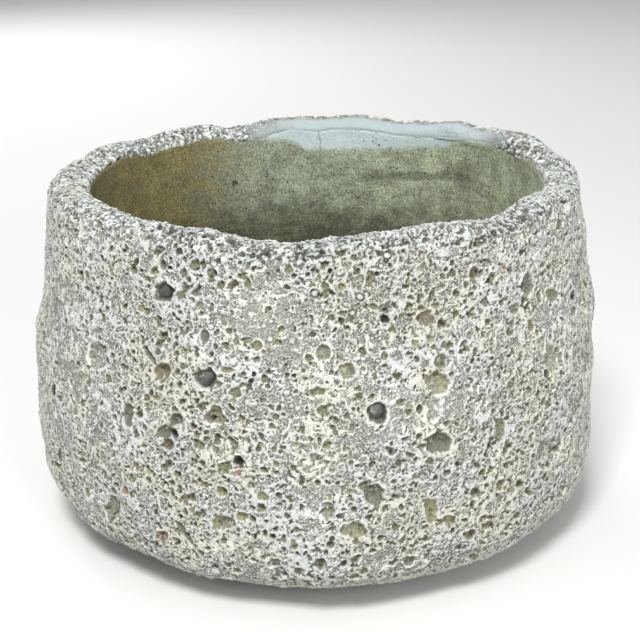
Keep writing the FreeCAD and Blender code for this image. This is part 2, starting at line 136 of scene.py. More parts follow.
# Smooth noise from -1 to 1 with hills about one size apart
def softNoise(points, size, seed):
    scaled = points / size
    base = np.floor(scaled).astype(np.int64)
    part = scaled - base
    part = part * part * (3 - 2 * part)
    total = np.zeros(points.shape[:-1])
    for corner in np.ndindex(2, 2, 2):
        weight = np.prod(np.where(corner, part, 1 - part), axis=-1)
        total += weight * cellValue(base + np.array(corner), seed)
    return total * 2 - 1


# Distance to the nearest of scattered spots, and a number that each spot keeps
def spotNoise(points, spacing, seed):
    scaled = points / spacing
    base = np.floor(scaled).astype(np.int64)
    near = np.full(points.shape[:-1], 9.0)
    mark = np.zeros(points.shape[:-1])
    for step in np.ndindex(3, 3, 3):
        cell = base + np.array(step) - 1
        spot = cell + np.stack([cellValue(cell, seed + axis) for axis in range(3)], axis=-1)
        gap = np.linalg.norm(scaled - spot, axis=-1)
        closer = gap < near
        mark = np.where(closer, cellValue(cell, seed + 3), mark)
        near = np.where(closer, gap, near)
    return near * spacing, mark


def smoothStep(low, high, value):
    part = np.clip((value - low) / (high - low), 0, 1)
    return part * part * (3 - 2 * part)


# Value between the entries of a table that runs round the planter from the back
def roundValue(table, azimuth):
    place = (azimuth + 180) / 360 * len(table)
    index = np.floor(place).astype(int)
    part = (1 - np.cos(math.pi * (place - index))) / 2
    table = np.array(table)
    return table[index % len(table)] * (1 - part) + table[(index + 1) % len(table)] * part


# How much each point of a smooth curve counts at the given places along it
def curveWeights(knots, places):
    count = len(knots)
    gaps = np.diff(knots)
    bends = np.eye(count)
    pulls = np.zeros((count, count))
    for index in range(1, count - 1):
        before, after = gaps[index - 1], gaps[index]
        bends[index, index - 1:index + 2] = before, 2 * (before + after), after
        pulls[index, index - 1:index + 2] = 6 / before, -6 / before - 6 / after, 6 / after
    curving = np.linalg.solve(bends, pulls)
    index = np.clip(np.searchsorted(knots, places) - 1, 0, count - 2)
    gap = gaps[index][:, None]
    right = (places[:, None] - knots[index][:, None]) / gap
    left = 1 - right
    own = np.eye(count)
    bows = [(share ** 3 - share) * gap ** 2 / 6 for share in (left, right)]
    bow = bows[0] * curving[index] + bows[1] * curving[index + 1]
    return left * own[index] + right * own[index + 1] + bow


def runningLengths(points):
    steps = np.linalg.norm(np.diff(np.array(points), axis=0), axis=1)
    return np.concatenate([[0.0], np.cumsum(steps)])


# Degrees from a middle to each azimuth, from -180 to 180
def turnFrom(middle, azimuth):
    return (azimuth - middle + 180) % 360 - 180


# A round bump on the wall, 1 at its middle
def bumpShape(azimuth, up, middle, level, halfTurn, halfHeight):
    turn = turnFrom(middle, azimuth)
    return np.exp(-((turn / halfTurn) ** 2) - ((up - level) / halfHeight) ** 2)


# How far the wall stands out of its round form
def unevenness(azimuth, height):
    up = height / wallForm["crestHeight"]
    total = 0
    for turns, rises, start, share in wallForm["waves"]:
        total += share * np.sin(np.radians(turns * azimuth + 360 * rises * up + start))
    for *bump, share in wallForm["bumps"]:
        total += share * bumpShape(azimuth, up, *bump)
    return wallForm["wallSwell"] * total * np.minimum(up / wallForm["evenFoot"], 1)


def crestHeights(azimuth):
    return wallForm["crestHeight"] + wallForm["rimWave"] * roundValue(wallForm["crestWave"], azimuth)


# (radius, height) points of the outer curve and of the rim, for each azimuth
def sectionPoints(azimuth):
    foot = wallForm["footWidth"] / 2
    inner = wallForm["openingWidth"] / 2
    belly = wallForm["overallWidth"] / 2
    shoulder = wallForm["shoulderWidth"] / 2
    crest = crestHeights(azimuth)
    drop = wallForm["shoulderDrop"]
    bellyHeight = wallForm["bellyHeight"] + 0 * azimuth
    side = crest - drop - bellyHeight
    outer = [(foot + (belly - foot) * across, bellyHeight * up) for across, up in wallForm["footCurve"]]
    for across, up in wallForm["sideCurve"]:
        outer.append((shoulder + (belly - shoulder) * across, bellyHeight + side * up))
    outer = [(radius + unevenness(azimuth, height), height) for radius, height in outer]
    rimReach = outer[-1][0] - inner
    rim = [(inner + rimReach * across, crest - drop * down) for across, down in wallForm["rimCurve"]]
    return outer, rim


def roundPlaces(azimuth, radius, height):
    turn = np.radians(azimuth)
    return np.stack([radius * np.sin(turn), -radius * np.cos(turn), height + 0 * radius], axis=-1)


# The columns are spaced so that one lies on each edge of the wall pieces
frontAngles = 180 / (4 * round(math.pi * wallForm["overallWidth"] / 2 / 4 / meshForm["frontStep"]))
backAngles = 180 / (2 * round(math.pi * wallForm["overallWidth"] / 2 / 2 / meshForm["backStep"]))
frontColumns = np.arange(-90, 90, frontAngles)
backColumns = np.arange(90, 270 + backAngles / 2, backAngles)
columnAzimuths = np.concatenate([frontColumns, backColumns])

outerKnots, rimKnots = (
    runningLengths([(float(radius[0]), float(height[0])) for radius, height in points])
    for points in sectionPoints(np.zeros(1))
)
allPoints = sectionPoints(columnAzimuths)


# Rows of a curve at every column, from its weights
def curveRows(points, knots, rowCount):
    weights = curveWeights(knots, np.linspace(0, knots[-1], rowCount))
    radius, height = (weights @ np.array(values) for values in zip(*points))
    return roundPlaces(columnAzimuths, radius, height)


wallRowCount = round(outerKnots[-1] / meshForm["rowStep"]) + 1
rimRowCount = round(rimKnots[-1] / meshForm["rimStep"]) + 1
lipRowCount = round(meshForm["lipDepth"] / meshForm["rimStep"])
footRowCount = round((wallForm["footWidth"] - wallForm["throatWidth"]) / 2 / meshForm["footStep"])

wallRows = curveRows(allPoints[0], outerKnots, wallRowCount)
rimRows = curveRows(allPoints[1], rimKnots, rimRowCount)
lipDrops = np.arange(1, lipRowCount + 1)[:, None, None] * np.array([0, 0, meshForm["rimStep"]])
lipRows = rimRows[-1][None] - lipDrops
footRadii = np.linspace(wallForm["throatWidth"] / 2, wallForm["footWidth"] / 2, footRowCount, endpoint=False)
footRows = np.stack([roundPlaces(columnAzimuths, radius + 0 * columnAzimuths, 0) for radius in footRadii])
formPlaces = np.concatenate([footRows, wallRows, rimRows[1:], lipRows])
wallStart = footRowCount
rimStart = wallStart + wallRowCount - 1


# Outward directions of a grid of places whose columns close on themselves
def gridNormals(places):
    across = np.gradient(places, axis=1)
    across[:, 0] = across[:, -1] = (places[:, 1] - places[:, -2]) / 2
    up = np.gradient(places, axis=0)
    normals = np.cross(across, up)
    return normals / np.linalg.norm(normals, axis=-1, keepdims=True)


formNormals = gridNormals(formPlaces)
azimuthGrid = np.broadcast_to(columnAzimuths, formPlaces.shape[:2])
print("form", formPlaces.shape)


# Where places show in the photographed view, in pixels, and how squarely they face it
def viewPlaces(places, normals):
    turn = math.radians(photoView["pitch"])
    eye = np.array([0, -photoView["distance"], photoView["height"]])
    forward = np.array([0, math.cos(turn), -math.sin(turn)])
    upward = np.array([0, math.sin(turn), math.cos(turn)])
    sight = places - eye
    depth = sight @ forward
    across = photoView["axisX"] + photoView["focal"] * sight[..., 0] / depth
    down = photoView["middle"] - photoView["focal"] * (sight @ upward) / depth
    facing = -np.sum(sight * normals, axis=-1) / np.linalg.norm(sight, axis=-1)
    return across, down, facing


viewX, viewY, viewFacing = viewPlaces(formPlaces, formNormals)
inView = viewFacing > photoView["leastFacing"]

# Soft noises over the facing: size in millimetres, and seed
noiseForms = {
    "patch": (30.0, 71), "calm": (45.0, 73), "edge": (3.2, 83), "broadEdge": (6.5, 84), "lip": (4.0, 85),
    "mottle": (2.4, 86), "broadMottle": (5.0, 87), "rimEdge": (6.0, 111), "coatEdge": (9.0, 112),
    "pale": (33.0, 121), "finePale": (12.0, 122), "crust": (5.0, 131), "fineCrust": (2.2, 132),
    "crustField": (26.0, 133), "line": (6.5, 141), "fineLine": (3.6, 142), "lineField": (11.0, 143),
    "fineLineField": (14.0, 144), "rimGrit": (3.4, 151), "fineRimGrit": (1.8, 152), "rimDust": (1.1, 153),
    "rimTone": (14.0, 161),
}


def wallNoise(name, places=formPlaces):
    return softNoise(places, *noiseForms[name])


# Spans over which one kind of surface turns into the next
zones = {
    # millimetres along the section from the rim's outer edge, and above the foot
    "onRim": (-22, 0), "rimTop": (3, 15), "innerRim": (27, 34), "coatTop": (22, 30), "foot": (0, 6),
    # degrees from the front
    "backRim": (100, 140), "coatStart": (112, 134), "coatEnd": (206, 184), "wideColumns": (86, 94),
    # rows from the foot's edge, where the marks of the wall fade out
    "footFade": (2, -2),
}

# What the facing is like at each place
relief = np.zeros(formPlaces.shape[:2])    # millimetres outwards
# pit floors are painted darker: partly grime, partly painted shade
hollow = np.zeros(formPlaces.shape[:2])    # pit floors
# lips are painted pale: partly lime, partly painted highlight
ridge = np.zeros(formPlaces.shape[:2])     # raised lips
calm = np.zeros(formPlaces.shape[:2])      # smooth places
ochre = np.zeros(formPlaces.shape[:2])
rust = np.zeros(formPlaces.shape[:2])
# near-black: partly soot, partly painted shade in deep pits and recesses
sootAndShade = np.zeros(formPlaces.shape[:2])

heightGrid = formPlaces[..., 2]
levelGrid = heightGrid / wallForm["crestHeight"]
rowGrid = np.arange(len(formPlaces))[:, None] + 0 * heightGrid
rimWay = (rowGrid - rimStart) * meshForm["rimStep"]
backTurn = np.abs(turnFrom(0, azimuthGrid))
onRim = smoothStep(*zones["onRim"], rimWay)
underFoot = 1 - smoothStep(*zones["foot"], (rowGrid - wallStart) * meshForm["rowStep"])

# Lumps of the coat: size and height in millimetres, and seed
lumps = {"middle": (15.0, 0.85, 11), "small": (6.5, 0.60, 12), "fine": (2.6, 0.40, 13)}
lumpLevel = 0.3
for size, height, seed in lumps.values():
    relief += height * (softNoise(formPlaces, size, seed) - lumpLevel)

# Single rises and dents of the outline: azimuth, share of the height, half width in degrees, half height,
# and millimetres
outlineSteps = (
    (-78, 0.685, 14, 0.075, -3.3), (-78, 0.48, 14, 0.10, -1.4), (-78, 0.31, 12, 0.04, 1.3),
    (-72, 0.06, 14, 0.10, -2.6), (-38, 0.02, 9, 0.06, -2.5), (-58, 0.03, 9, 0.07, 1.5),
    (3, 0.03, 8, 0.06, -1.8), (78, 0.57, 13, 0.05, -3.4), (78, 0.41, 12, 0.06, -1.7),
    (78, 0.74, 12, 0.05, -1.0), (80, 0.17, 20, 0.10, 2.0), (78, 0.87, 10, 0.035, 1.6),
    (80, 0.95, 10, 0.04, -1.0), (-152, 1.0, 14, 0.05, 1.3), (139, 1.0, 6, 0.05, 2.6),
    (115, 1.0, 7, 0.05, 3.4), (-106, 1.0, 8, 0.06, -3.0), (102, 0.97, 5, 0.04, -1.5),
)
for *step, rise in outlineSteps:
    relief += rise * bumpShape(azimuthGrid, levelGrid, *step)

# Cups left by air and grit: spacing, share of spots that are pits, radius range, depth as share of the
# radius, lip, how much rarer they are on the rim, how pale the lip is, seed
cupForms = {
    "dimple": {
        "spacing": 17.0, "share": 0.50, "radius": (3.0, 7.0), "depth": 0.28,
        "lip": 0.15, "rimLoss": 0.6, "paleLip": 0.0, "seed": 31,
    },
    "bowl": {
        "spacing": 9.0, "share": 0.50, "radius": (1.8, 4.0), "depth": 0.62,
        "lip": 0.40, "rimLoss": 0.6, "paleLip": 0.9, "seed": 36,
    },
    "cup": {
        "spacing": 5.2, "share": 0.75, "radius": (1.2, 2.6), "depth": 0.85,
        "lip": 0.50, "rimLoss": 0.3, "paleLip": 0.7, "seed": 41,
    },
    "smallCup": {
        "spacing": 2.9, "share": 0.70, "radius": (0.7, 1.4), "depth": 0.95,
        "lip": 0.35, "rimLoss": -0.15, "paleLip": 0.35, "seed": 51,
    },
}
# Shares that hold for all cups
cupRules = {
    "calmLoss": 0.8, "patchGain": 0.15, "leastShare": 0.05, "sizePower": 1.5, "lipWidth": 0.13,
    "coatLoss": 0.9, "floorTone": 0.65,
}
# Pits aren't round: their places are pulled about, by size of the pull and its reach in millimetres
warpForm = {"broad": (4.2, 1.25), "fine": (1.9, 0.45), "seed": 61}
warped = formPlaces
for size, reach in (warpForm["broad"], warpForm["fine"]):
    pulls = [softNoise(formPlaces, size, warpForm["seed"] + axis + round(size)) for axis in range(3)]
    warped = warped + reach * np.stack(pulls, axis=-1)
patchNoise = wallNoise("patch")
cupColours = np.zeros(formPlaces.shape[:2])

# Smoother patches in the photographed view: middle, width and height in pixels, and how smooth
calmPatches = (
    (268, 318, 90, 110, 0.75), (300, 345, 60, 60, 0.6), (70, 380, 60, 170, 0.45), (60, 300, 40, 90, 0.4),
    (235, 245, 60, 26, 0.5), (545, 330, 60, 70, 0.3), (320, 465, 60, 40, 0.45), (390, 560, 80, 30, 0.4),
    (325, 395, 160, 150, 0.40),
)
for x, y, width, height, amount in calmPatches:
    reach = ((viewX - x) / width * 2) ** 2 + ((viewY - y) / height * 2) ** 2
    calm = np.maximum(calm, np.where(inView, amount * np.exp(-reach), 0))

# How smooth the wider fields are, and how far their edges wander
calmForm = {"field": 0.55, "fieldSpan": (0.35, 0.9), "backRim": 0.55, "innerRim": 0.6}
edgeWander = {"rim": 1.2, "coat": 5}    # millimetres and degrees
calm = np.maximum(calm, calmForm["field"] * smoothStep(*calmForm["fieldSpan"], wallNoise("calm")))
calm = np.maximum(calm, calmForm["backRim"] * (onRim * smoothStep(*zones["backRim"], backTurn)))
calm = np.maximum(calm, underFoot)
rimRun = rimWay + edgeWander["rim"] * wallNoise("rimEdge")
innerRim = smoothStep(*zones["innerRim"], rimRun)
rimTop = smoothStep(*zones["rimTop"], rimRun)
# The lining's coat runs up over the inner side of the rim at the back
coatTurn = azimuthGrid % 360 + edgeWander["coat"] * wallNoise("coatEdge")
backCoat = smoothStep(*zones["coatTop"], rimRun)
backCoat *= smoothStep(*zones["coatStart"], coatTurn)
backCoat *= smoothStep(*zones["coatEnd"], coatTurn)
calm = np.maximum(calm, np.maximum(calmForm["innerRim"] * innerRim, backCoat))

for name, form in cupForms.items():
    gap, mark = spotNoise(warped, form["spacing"], form["seed"])
    share = form["share"] * (1 - cupRules["calmLoss"] * calm) * (1 - form["rimLoss"] * rimTop)
    share += cupRules["patchGain"] * patchNoise
    small, large = form["radius"]
    rank = mark / np.maximum(share, cupRules["leastShare"])
    size = small + (large - small) * rank ** cupRules["sizePower"]
    present = mark < share
    inside = np.where(present, size - gap, -9)    # far outside where there is no pit
    depth = form["depth"] * size * np.sqrt(np.clip(1 - (gap / size) ** 2, 0, 1)) * present
    lipWidth = cupRules["lipWidth"] * form["spacing"]
    lip = form["lip"] * np.exp(-((np.maximum(-inside, 0)) / lipWidth) ** 2) * (inside < 0)
    relief += (lip - depth) * (1 - underFoot) * (1 - cupRules["coatLoss"] * backCoat)
    # Pit floors are painted darker the deeper they go, painted shade, and lips pale, partly lime and partly
    # painted highlight
    if form["paleLip"]:
        floor = np.clip(depth / (form["depth"] * size), 0, 1) * cupRules["floorTone"]
        hollow = np.maximum(hollow, floor)
        ridge = np.maximum(ridge, lip / form["lip"] * form["paleLip"])
        cupColours = np.where((inside > 0) & (cupColours == 0), rank, cupColours)
    print("cups", name, round(float(present.mean()), 2))

# Some pit floors hold ochre grit, and some are near-black, partly soot and partly painted shade: more ochre
# low on the left, more near-black under the rim in front
gritForm = {
    # pixels of the photographed view
    "leftX": (330, 120), "lowY": (330, 430), "frontX": (480, 330), "topY": (300, 240),
    # which cups hold them, by their number, and how that shifts in the two places
    "ochre": (0.60, 0.74), "ochreShift": (0.25, 0.15), "sootAndShade": (0.28, 0.20), "sootAndShadeShift": 0.30,
    "sootAndShadeShare": 0.9, "sootAndShadeGain": 0.5,
}
leftLow = smoothStep(*gritForm["leftX"], viewX) * smoothStep(*gritForm["lowY"], viewY) * inView
frontTop = smoothStep(*gritForm["topY"], viewY) * smoothStep(*gritForm["frontX"], viewX) * inView
ochreSpan = [level - shift * leftLow for level, shift in zip(gritForm["ochre"], gritForm["ochreShift"])]
ochre = np.maximum(ochre, smoothStep(*ochreSpan, cupColours) * hollow)
sootAndShadeStart, sootAndShadeFull = gritForm["sootAndShade"]
sootAndShadeCups = smoothStep(sootAndShadeStart + gritForm["sootAndShadeShift"] * frontTop, sootAndShadeFull, cupColours)
sootAndShadeCups *= hollow * (cupColours > 0)
sootAndShade = np.maximum(sootAndShade, sootAndShadeCups * (gritForm["sootAndShadeShare"] + gritForm["sootAndShadeGain"] * frontTop))

floorKinds = {
    # hollow, ochre, rust, near-black, calm; the hollow and near-black tones are partly grime and partly
    # painted shade
    "plain": (0.35, 0.10, 0.0, 0.00, 0.75),
    "beige": (0.12, 0.18, 0.0, 0.00, 0.90),
    "shallow": (0.12, 0.12, 0.0, 0.00, 0.45),
    "grey": (0.75, 0.00, 0.0, 0.30, 0.90),
    "olive": (0.60, 0.60, 0.0, 0.05, 0.85),
    "ochre": (0.40, 1.00, 0.0, 0.00, 0.80),
    "rust": (0.40, 0.30, 1.0, 0.00, 0.80),
    "brown": (0.60, 0.40, 0.35, 0.15, 0.60),
    "dark": (0.80, 0.00, 0.0, 0.90, 0.50),
}

# Craters in the photographed view: x, y, width and height in pixels, depth in millimetres, lean in
# degrees of the long side from upright, and the kind of floor
viewCraters = (
    (164, 292, 20, 20, 4.5, 0, "grey"), (97, 355, 20, 30, 3.6, 0, "beige"),
    (104, 354, 5, 16, 2.5, 0, "dark"), (161, 372, 17, 20, 4.0, 0, "brown"),
    (149, 355, 6, 28, 2.5, 34, "grey"), (205, 379, 23, 22, 5.5, 0, "grey"),
    (214, 418, 22, 14, 3.6, 0, "brown"), (220, 441, 28, 44, 1.4, 15, "shallow"),
    (211, 420, 6, 6, 3.0, 0, "dark"), (216, 438, 6, 6, 3.0, 0, "dark"), (237, 463, 9, 9, 3.5, 0, "dark"),
    (177, 419, 14, 13, 3.5, 0, "grey"), (164, 432, 13, 14, 3.5, 0, "grey"),
    (174, 434, 9, 10, 3.5, 0, "dark"), (168, 445, 12, 12, 3.5, 0, "brown"),
    (127, 416, 12, 24, 3.5, 0, "grey"), (111, 511, 12, 26, 3.5, 0, "plain"),
    (117, 511, 4, 20, 3.0, 0, "dark"), (222, 524, 26, 16, 3.6, 0, "olive"),
    (161, 537, 14, 13, 3.0, 0, "rust"), (185, 535, 6, 30, 2.5, 37, "grey"),
    (312, 465, 30, 22, 2.2, 0, "shallow"), (323, 353, 16, 14, 3.2, 0, "plain"),
    (347, 371, 16, 16, 3.2, 0, "olive"), (328, 512, 14, 20, 2.8, 0, "plain"),
    (355, 531, 24, 18, 3.6, 0, "olive"), (374, 495, 21, 20, 4.4, 0, "grey"),
    (378, 414, 20, 22, 4.5, 0, "dark"), (438, 443, 26, 21, 5.0, 0, "grey"),
    (432, 510, 15, 25, 3.6, 0, "ochre"), (450, 521, 14, 13, 3.2, 0, "ochre"),
    (386, 320, 9, 9, 5.0, 0, "dark"), (386, 309, 17, 13, 2.0, 0, "plain"),
    (427, 319, 20, 17, 3.0, 0, "brown"), (437, 383, 25, 22, 3.2, 0, "olive"),
    (441, 362, 16, 16, 2.8, 0, "plain"), (428, 407, 27, 26, 1.8, 0, "shallow"),
    (421, 410, 9, 10, 2.8, 0, "brown"), (425, 233, 30, 12, 2.5, 0, "beige"),
    (416, 236, 6, 5, 2.5, 0, "dark"), (475, 273, 12, 12, 3.2, 0, "brown"),
    (528, 285, 14, 22, 3.4, 0, "grey"), (553, 295, 14, 14, 3.0, 0, "olive"),
    (515, 309, 12, 12, 2.6, 0, "plain"), (573, 295, 6, 11, 2.4, 0, "dark"),
    (574, 311, 6, 11, 2.2, 0, "plain"), (554, 359, 20, 28, 3.6, 0, "beige"),
    (547, 374, 7, 9, 3.0, 0, "dark"), (501, 430, 13, 22, 3.2, 0, "olive"),
    (548, 453, 22, 44, 2.6, -32, "shallow"), (477, 493, 10, 10, 3.2, 0, "grey"),
    (54, 389, 4, 18, 2.5, 0, "dark"), (59, 455, 4, 14, 2.5, 0, "dark"),
    (205, 336, 10, 15, 2.6, 0, "grey"), (274, 564, 12, 9, 2.5, 0, "plain"),
    (299, 572, 12, 9, 2.5, 0, "plain"), (321, 562, 8, 8, 2.5, 0, "grey"),
    (344, 564, 7, 7, 2.5, 0, "grey"), (409, 562, 12, 10, 2.5, 0, "plain"),
    (246, 340, 13, 7, 1.8, 0, "olive"), (227, 370, 11, 6, 1.8, 0, "olive"),
)
# Thin dark rings round a pale middle, black pits, and pits with an ochre or an orange floor: x, y, size
viewRings = (
    (387, 256, 9), (381, 266, 7), (360, 297, 9), (352, 313, 9), (380, 339, 7), (378, 361, 6), (315, 293, 10),
    (271, 321, 8), (264, 326, 8), (270, 339, 10), (292, 341, 8), (211, 327, 9), (222, 300, 8), (287, 393, 9),
    (292, 406, 9), (275, 476, 8), (243, 474, 8), (311, 497, 8), (498, 362, 9), (130, 319, 8), (214, 263, 8),
)
# The strong ones come first in their table
ringForm = {
    "strongCount": 7, "strong": 0.9, "faint": 0.5, "wobble": 0.22, "groovePlace": 0.80, "grooveWidth": 0.17,
    "middle": (0.65, 0.45), "edge": (1.3, 1.0), "smoothing": 0.5, "depth": 0.5, "rise": 0.25, "sootAndShade": 0.75,
}
viewBlackPits = (
    (218, 261, 6), (252, 255, 7), (258, 256, 6), (298, 245, 4), (268, 274, 4), (278, 271, 4), (404, 251, 5),
    (377, 274, 5), (330, 271, 5), (331, 281, 4), (331, 293, 4), (312, 335, 6), (244, 374, 5), (254, 374, 5),
    (251, 381, 5), (269, 372, 5), (287, 375, 5), (284, 360, 4), (482, 237, 4), (522, 252, 6), (492, 313, 5),
    (458, 465, 5), (307, 413, 5), (303, 371, 5), (160, 227, 5), (152, 230, 4), (172, 228, 5), (182, 231, 4),
    (204, 236, 5), (212, 238, 5), (322, 252, 6), (240, 262, 4), (306, 252, 4), (345, 259, 4), (371, 258, 4),
)
viewOchrePits = (
    (140, 308, 8), (153, 272, 7), (183, 351, 7), (155, 398, 7), (146, 405, 6), (150, 472, 7), (132, 480, 7),
    (171, 490, 6), (191, 511, 7), (125, 505, 7), (166, 526, 6), (241, 421, 7), (260, 445, 7), (296, 445, 6),
    (205, 485, 7), (221, 492, 11), (251, 486, 7), (262, 497, 12), (262, 509, 8), (241, 517, 12),
    (350, 492, 7), (436, 306, 9), (416, 343, 7), (359, 259, 6), (342, 287, 9), (512, 490, 8), (530, 493, 7),
    (482, 523, 7), (482, 533, 6), (208, 548, 7), (283, 541, 7), (293, 543, 6), (327, 446, 9), (199, 305, 8),
    (233, 401, 7),
)
viewOrangePits = (
    (186, 366, 6), (135, 465, 7), (169, 462, 7), (125, 492, 7), (109, 479, 6), (184, 499, 9), (238, 473, 6),
    (420, 256, 5), (193, 427, 6), (505, 268, 5),
)
edgeNoise = wallNoise("edge") + 0.8 * wallNoise("broadEdge")
lipNoise = np.clip(0.45 + 0.9 * wallNoise("lip"), 0, 1)
floorMottle = 0.75 + 0.7 * wallNoise("mottle", warped) + 0.4 * wallNoise("broadMottle", warped)
floorMottle = np.clip(floorMottle, 0.1, 1.1)

# Shape and tones of a pressed form, by how far out a place lies: 0 at its middle and 1 at its edge
pressForm = {
    "wobble": 0.20, "bowlPower": 3, "bowlRound": 0.7, "lipPlace": 1.12, "lipWidth": 0.13, "lipTone": 0.9,
    "floorEdge": (1.05, 0.85), "smoothing": 0.25, "cover": 0.75, "lip": 0.5,
}


# Presses one round form with a wobbly edge into a window of the surface
def press(window, reach, depth, kind, lip=pressForm["lip"]):
    reach = reach * (1 + pressForm["wobble"] * edgeNoise[window])
    bowl = np.clip(1 - reach ** pressForm["bowlPower"], 0, 1) ** pressForm["bowlRound"]
    rimLine = np.exp(-((reach - pressForm["lipPlace"]) / pressForm["lipWidth"]) ** 2) * lipNoise[window]
    floor = smoothStep(*pressForm["floorEdge"], reach)
    relief[window] = relief[window] * (1 - pressForm["smoothing"] * floor) - depth * bowl + lip * rimLine
    for grid, value in zip((hollow, ochre, rust, sootAndShade, calm), floorKinds[kind]):
        grid[window] = grid[window] * (1 - pressForm["cover"] * floor) + value * floor * floorMottle[window]
    ridge[window] = np.maximum(ridge[window] * (1 - floor), pressForm["lipTone"] * rimLine)


# The same where the photographed view shows it, in its pixels
def pressInView(x, y, width, height, depth, lean, kind, lip=pressForm["lip"]):
    window = inView & (np.abs(viewX - x) < width + height) & (np.abs(viewY - y) < width + height)
    turn = math.radians(lean)
    right = viewX[window] - x
    down = viewY[window] - y
    across = right * math.cos(turn) - down * math.sin(turn)
    along = right * math.sin(turn) + down * math.cos(turn)
    press(window, np.hypot(across / width * 2, along / height * 2), depth, kind, lip)


for crater in viewCraters:
    pressInView(*crater)
# Small pits: kind of floor, places, height and depth as shares of the width, more depth, lip
smallPits = (
    ("ochre", viewOchrePits, 0.85, 0.16, 0.3, 0.3),
    ("rust", viewOrangePits, 0.85, 0.16, 0.3, 0.3),
    ("dark", viewBlackPits, 1.0, 0.28, 0.0, 0.2),
)
for kind, pits, tall, steep, more, lip in smallPits:
    for x, y, size in pits:
        pressInView(x, y, size, size * tall, steep * size + more, 0, kind, lip)
for index, (x, y, size) in enumerate(viewRings):
    strength = ringForm["strong"] if index < ringForm["strongCount"] else ringForm["faint"]
    window = inView & (np.abs(viewX - x) < size) & (np.abs(viewY - y) < size)
    reach = np.hypot(viewX[window] - x, viewY[window] - y) / size * 2
    reach *= 1 + ringForm["wobble"] * edgeNoise[window]
    groove = np.exp(-((reach - ringForm["groovePlace"]) / ringForm["grooveWidth"]) ** 2) * strength
    middle = smoothStep(*ringForm["middle"], reach) * strength
    within = smoothStep(*ringForm["edge"], reach)
    relief[window] = relief[window] * (1 - ringForm["smoothing"] * within) - ringForm["depth"] * groove
    relief[window] += ringForm["rise"] * middle
    # The groove is painted dark and near-black: painted shade in it
    for grid, mark in ((hollow, groove), (sootAndShade, ringForm["sootAndShade"] * groove), (ridge, middle), (ochre, 0)):
        grid[window] = grid[window] * (1 - within) + mark
print("view marks", len(viewCraters) + len(viewRings) + sum(len(form[1]) for form in smallPits))

# The side away from view carries craters of the same kind, placed by the golden ratio
awayCraters = {
    "count": 26, "start": 74, "span": 212, "size": 12.0, "low": 0.20, "high": 0.90,
    "widths": (0.9, 1.25, 0.6, 1.05, 0.75, 1.4, 0.55),
    "depths": (0.36, 0.26, 0.42, 0.30),
    "kinds": ("grey", "plain", "ochre", "beige", "dark", "plain", "olive", "brown"),
    "depthShare": 0.8, "halfTurn": 8, "halfHeight": 1.2, "rimLimit": 0.9,
}
golden = (math.sqrt(5) - 1) / 2
for index in range(awayCraters["count"]):
    azimuth = awayCraters["start"] + awayCraters["span"] * (index + golden) / (awayCraters["count"] + 1)
    up = awayCraters["low"] + (awayCraters["high"] - awayCraters["low"]) * ((index * golden) % 1)
    width, depth, kind = (
        awayCraters[key][index % len(awayCraters[key])] for key in ("widths", "depths", "kinds")
    )
    width *= awayCraters["size"]
    depth = depth * awayCraters["size"] * awayCraters["depthShare"]
    level = up * wallForm["crestHeight"]
    turn = turnFrom(azimuth, azimuthGrid)
    window = (np.abs(turn) < awayCraters["halfTurn"]) & (onRim < awayCraters["rimLimit"])
    window &= np.abs(heightGrid - level) < awayCraters["halfHeight"] * width
    radius = np.hypot(formPlaces[..., 0], formPlaces[..., 1])[window]
    across = np.radians(turn[window]) * radius
    press(window, np.hypot(across, heightGrid[window] - level) / width * 2, depth, kind)

# Lime in ragged crusts that stand a little proud, and in thin crumbly lines between the pits
limeForm = {
    "crustSpan": (0.12, 0.34), "crustCalmLoss": 0.35, "crustRise": 0.35,
    "lineCalmLoss": 0.7, "lineRise": 0.45,
    # noise of the lines and its span, noise of the fields that have them and its span
    "lines": (
        ("line", (0.80, 0.93), "lineField", (-0.15, 0.2)),
        ("fineLine", (0.82, 0.95), "fineLineField", (0.0, 0.3)),
    ),
}


def offCoat(values):
    return values * (1 - underFoot) * (1 - backCoat)


crustNoise = 0.50 * wallNoise("crust", warped) + 0.50 * wallNoise("fineCrust", warped)
crustNoise += 0.55 * wallNoise("crustField")
crust = offCoat(smoothStep(*limeForm["crustSpan"], crustNoise - limeForm["crustCalmLoss"] * calm))
lines = np.zeros(formPlaces.shape[:2])
for noise, span, field, fieldSpan in limeForm["lines"]:
    crests = smoothStep(*span, 1 - np.abs(wallNoise(noise, warped)))
    lines = np.maximum(lines, crests * smoothStep(*fieldSpan, wallNoise(field)))
lines *= offCoat(1 - limeForm["lineCalmLoss"] * calm)
relief += limeForm["crustRise"] * crust + limeForm["lineRise"] * lines

# The rim is speckled white and grey, painted darker where its surface dips: partly grit, partly painted
# shade
rimForm = {
    "outerShare": 0.3, "topShare": 0.7, "rise": 0.8, "lipLoss": 0.4, "pale": 0.65, "paleSpan": (0.12, 0.32),
    "hollow": 0.55, "hollowSpan": (0.05, 0.30), "sootAndShade": 0.7, "sootAndShadeSpan": (0.34, 0.50),
}
rimTone = 0.35 * wallNoise("rimGrit", warped) + 0.55 * wallNoise("fineRimGrit", warped)
rimTone += 0.65 * wallNoise("rimDust")
rimTone *= (rimForm["outerShare"] * onRim + rimForm["topShare"] * rimTop) * (1 - backCoat)
relief += rimForm["rise"] * rimTone

# Single sand grains, cell by cell
grainForm = {"perMillimetre": 7, "seed": 91, "rise": 0.50, "calmLoss": 0.6, "lift": 0.1}
grainCells = np.floor(formPlaces * grainForm["perMillimetre"]).astype(np.int64)
grainJitter = cellValue(grainCells, grainForm["seed"]) - 0.5
relief += grainForm["rise"] * grainJitter * (1 - grainForm["calmLoss"] * calm) + grainForm["lift"]
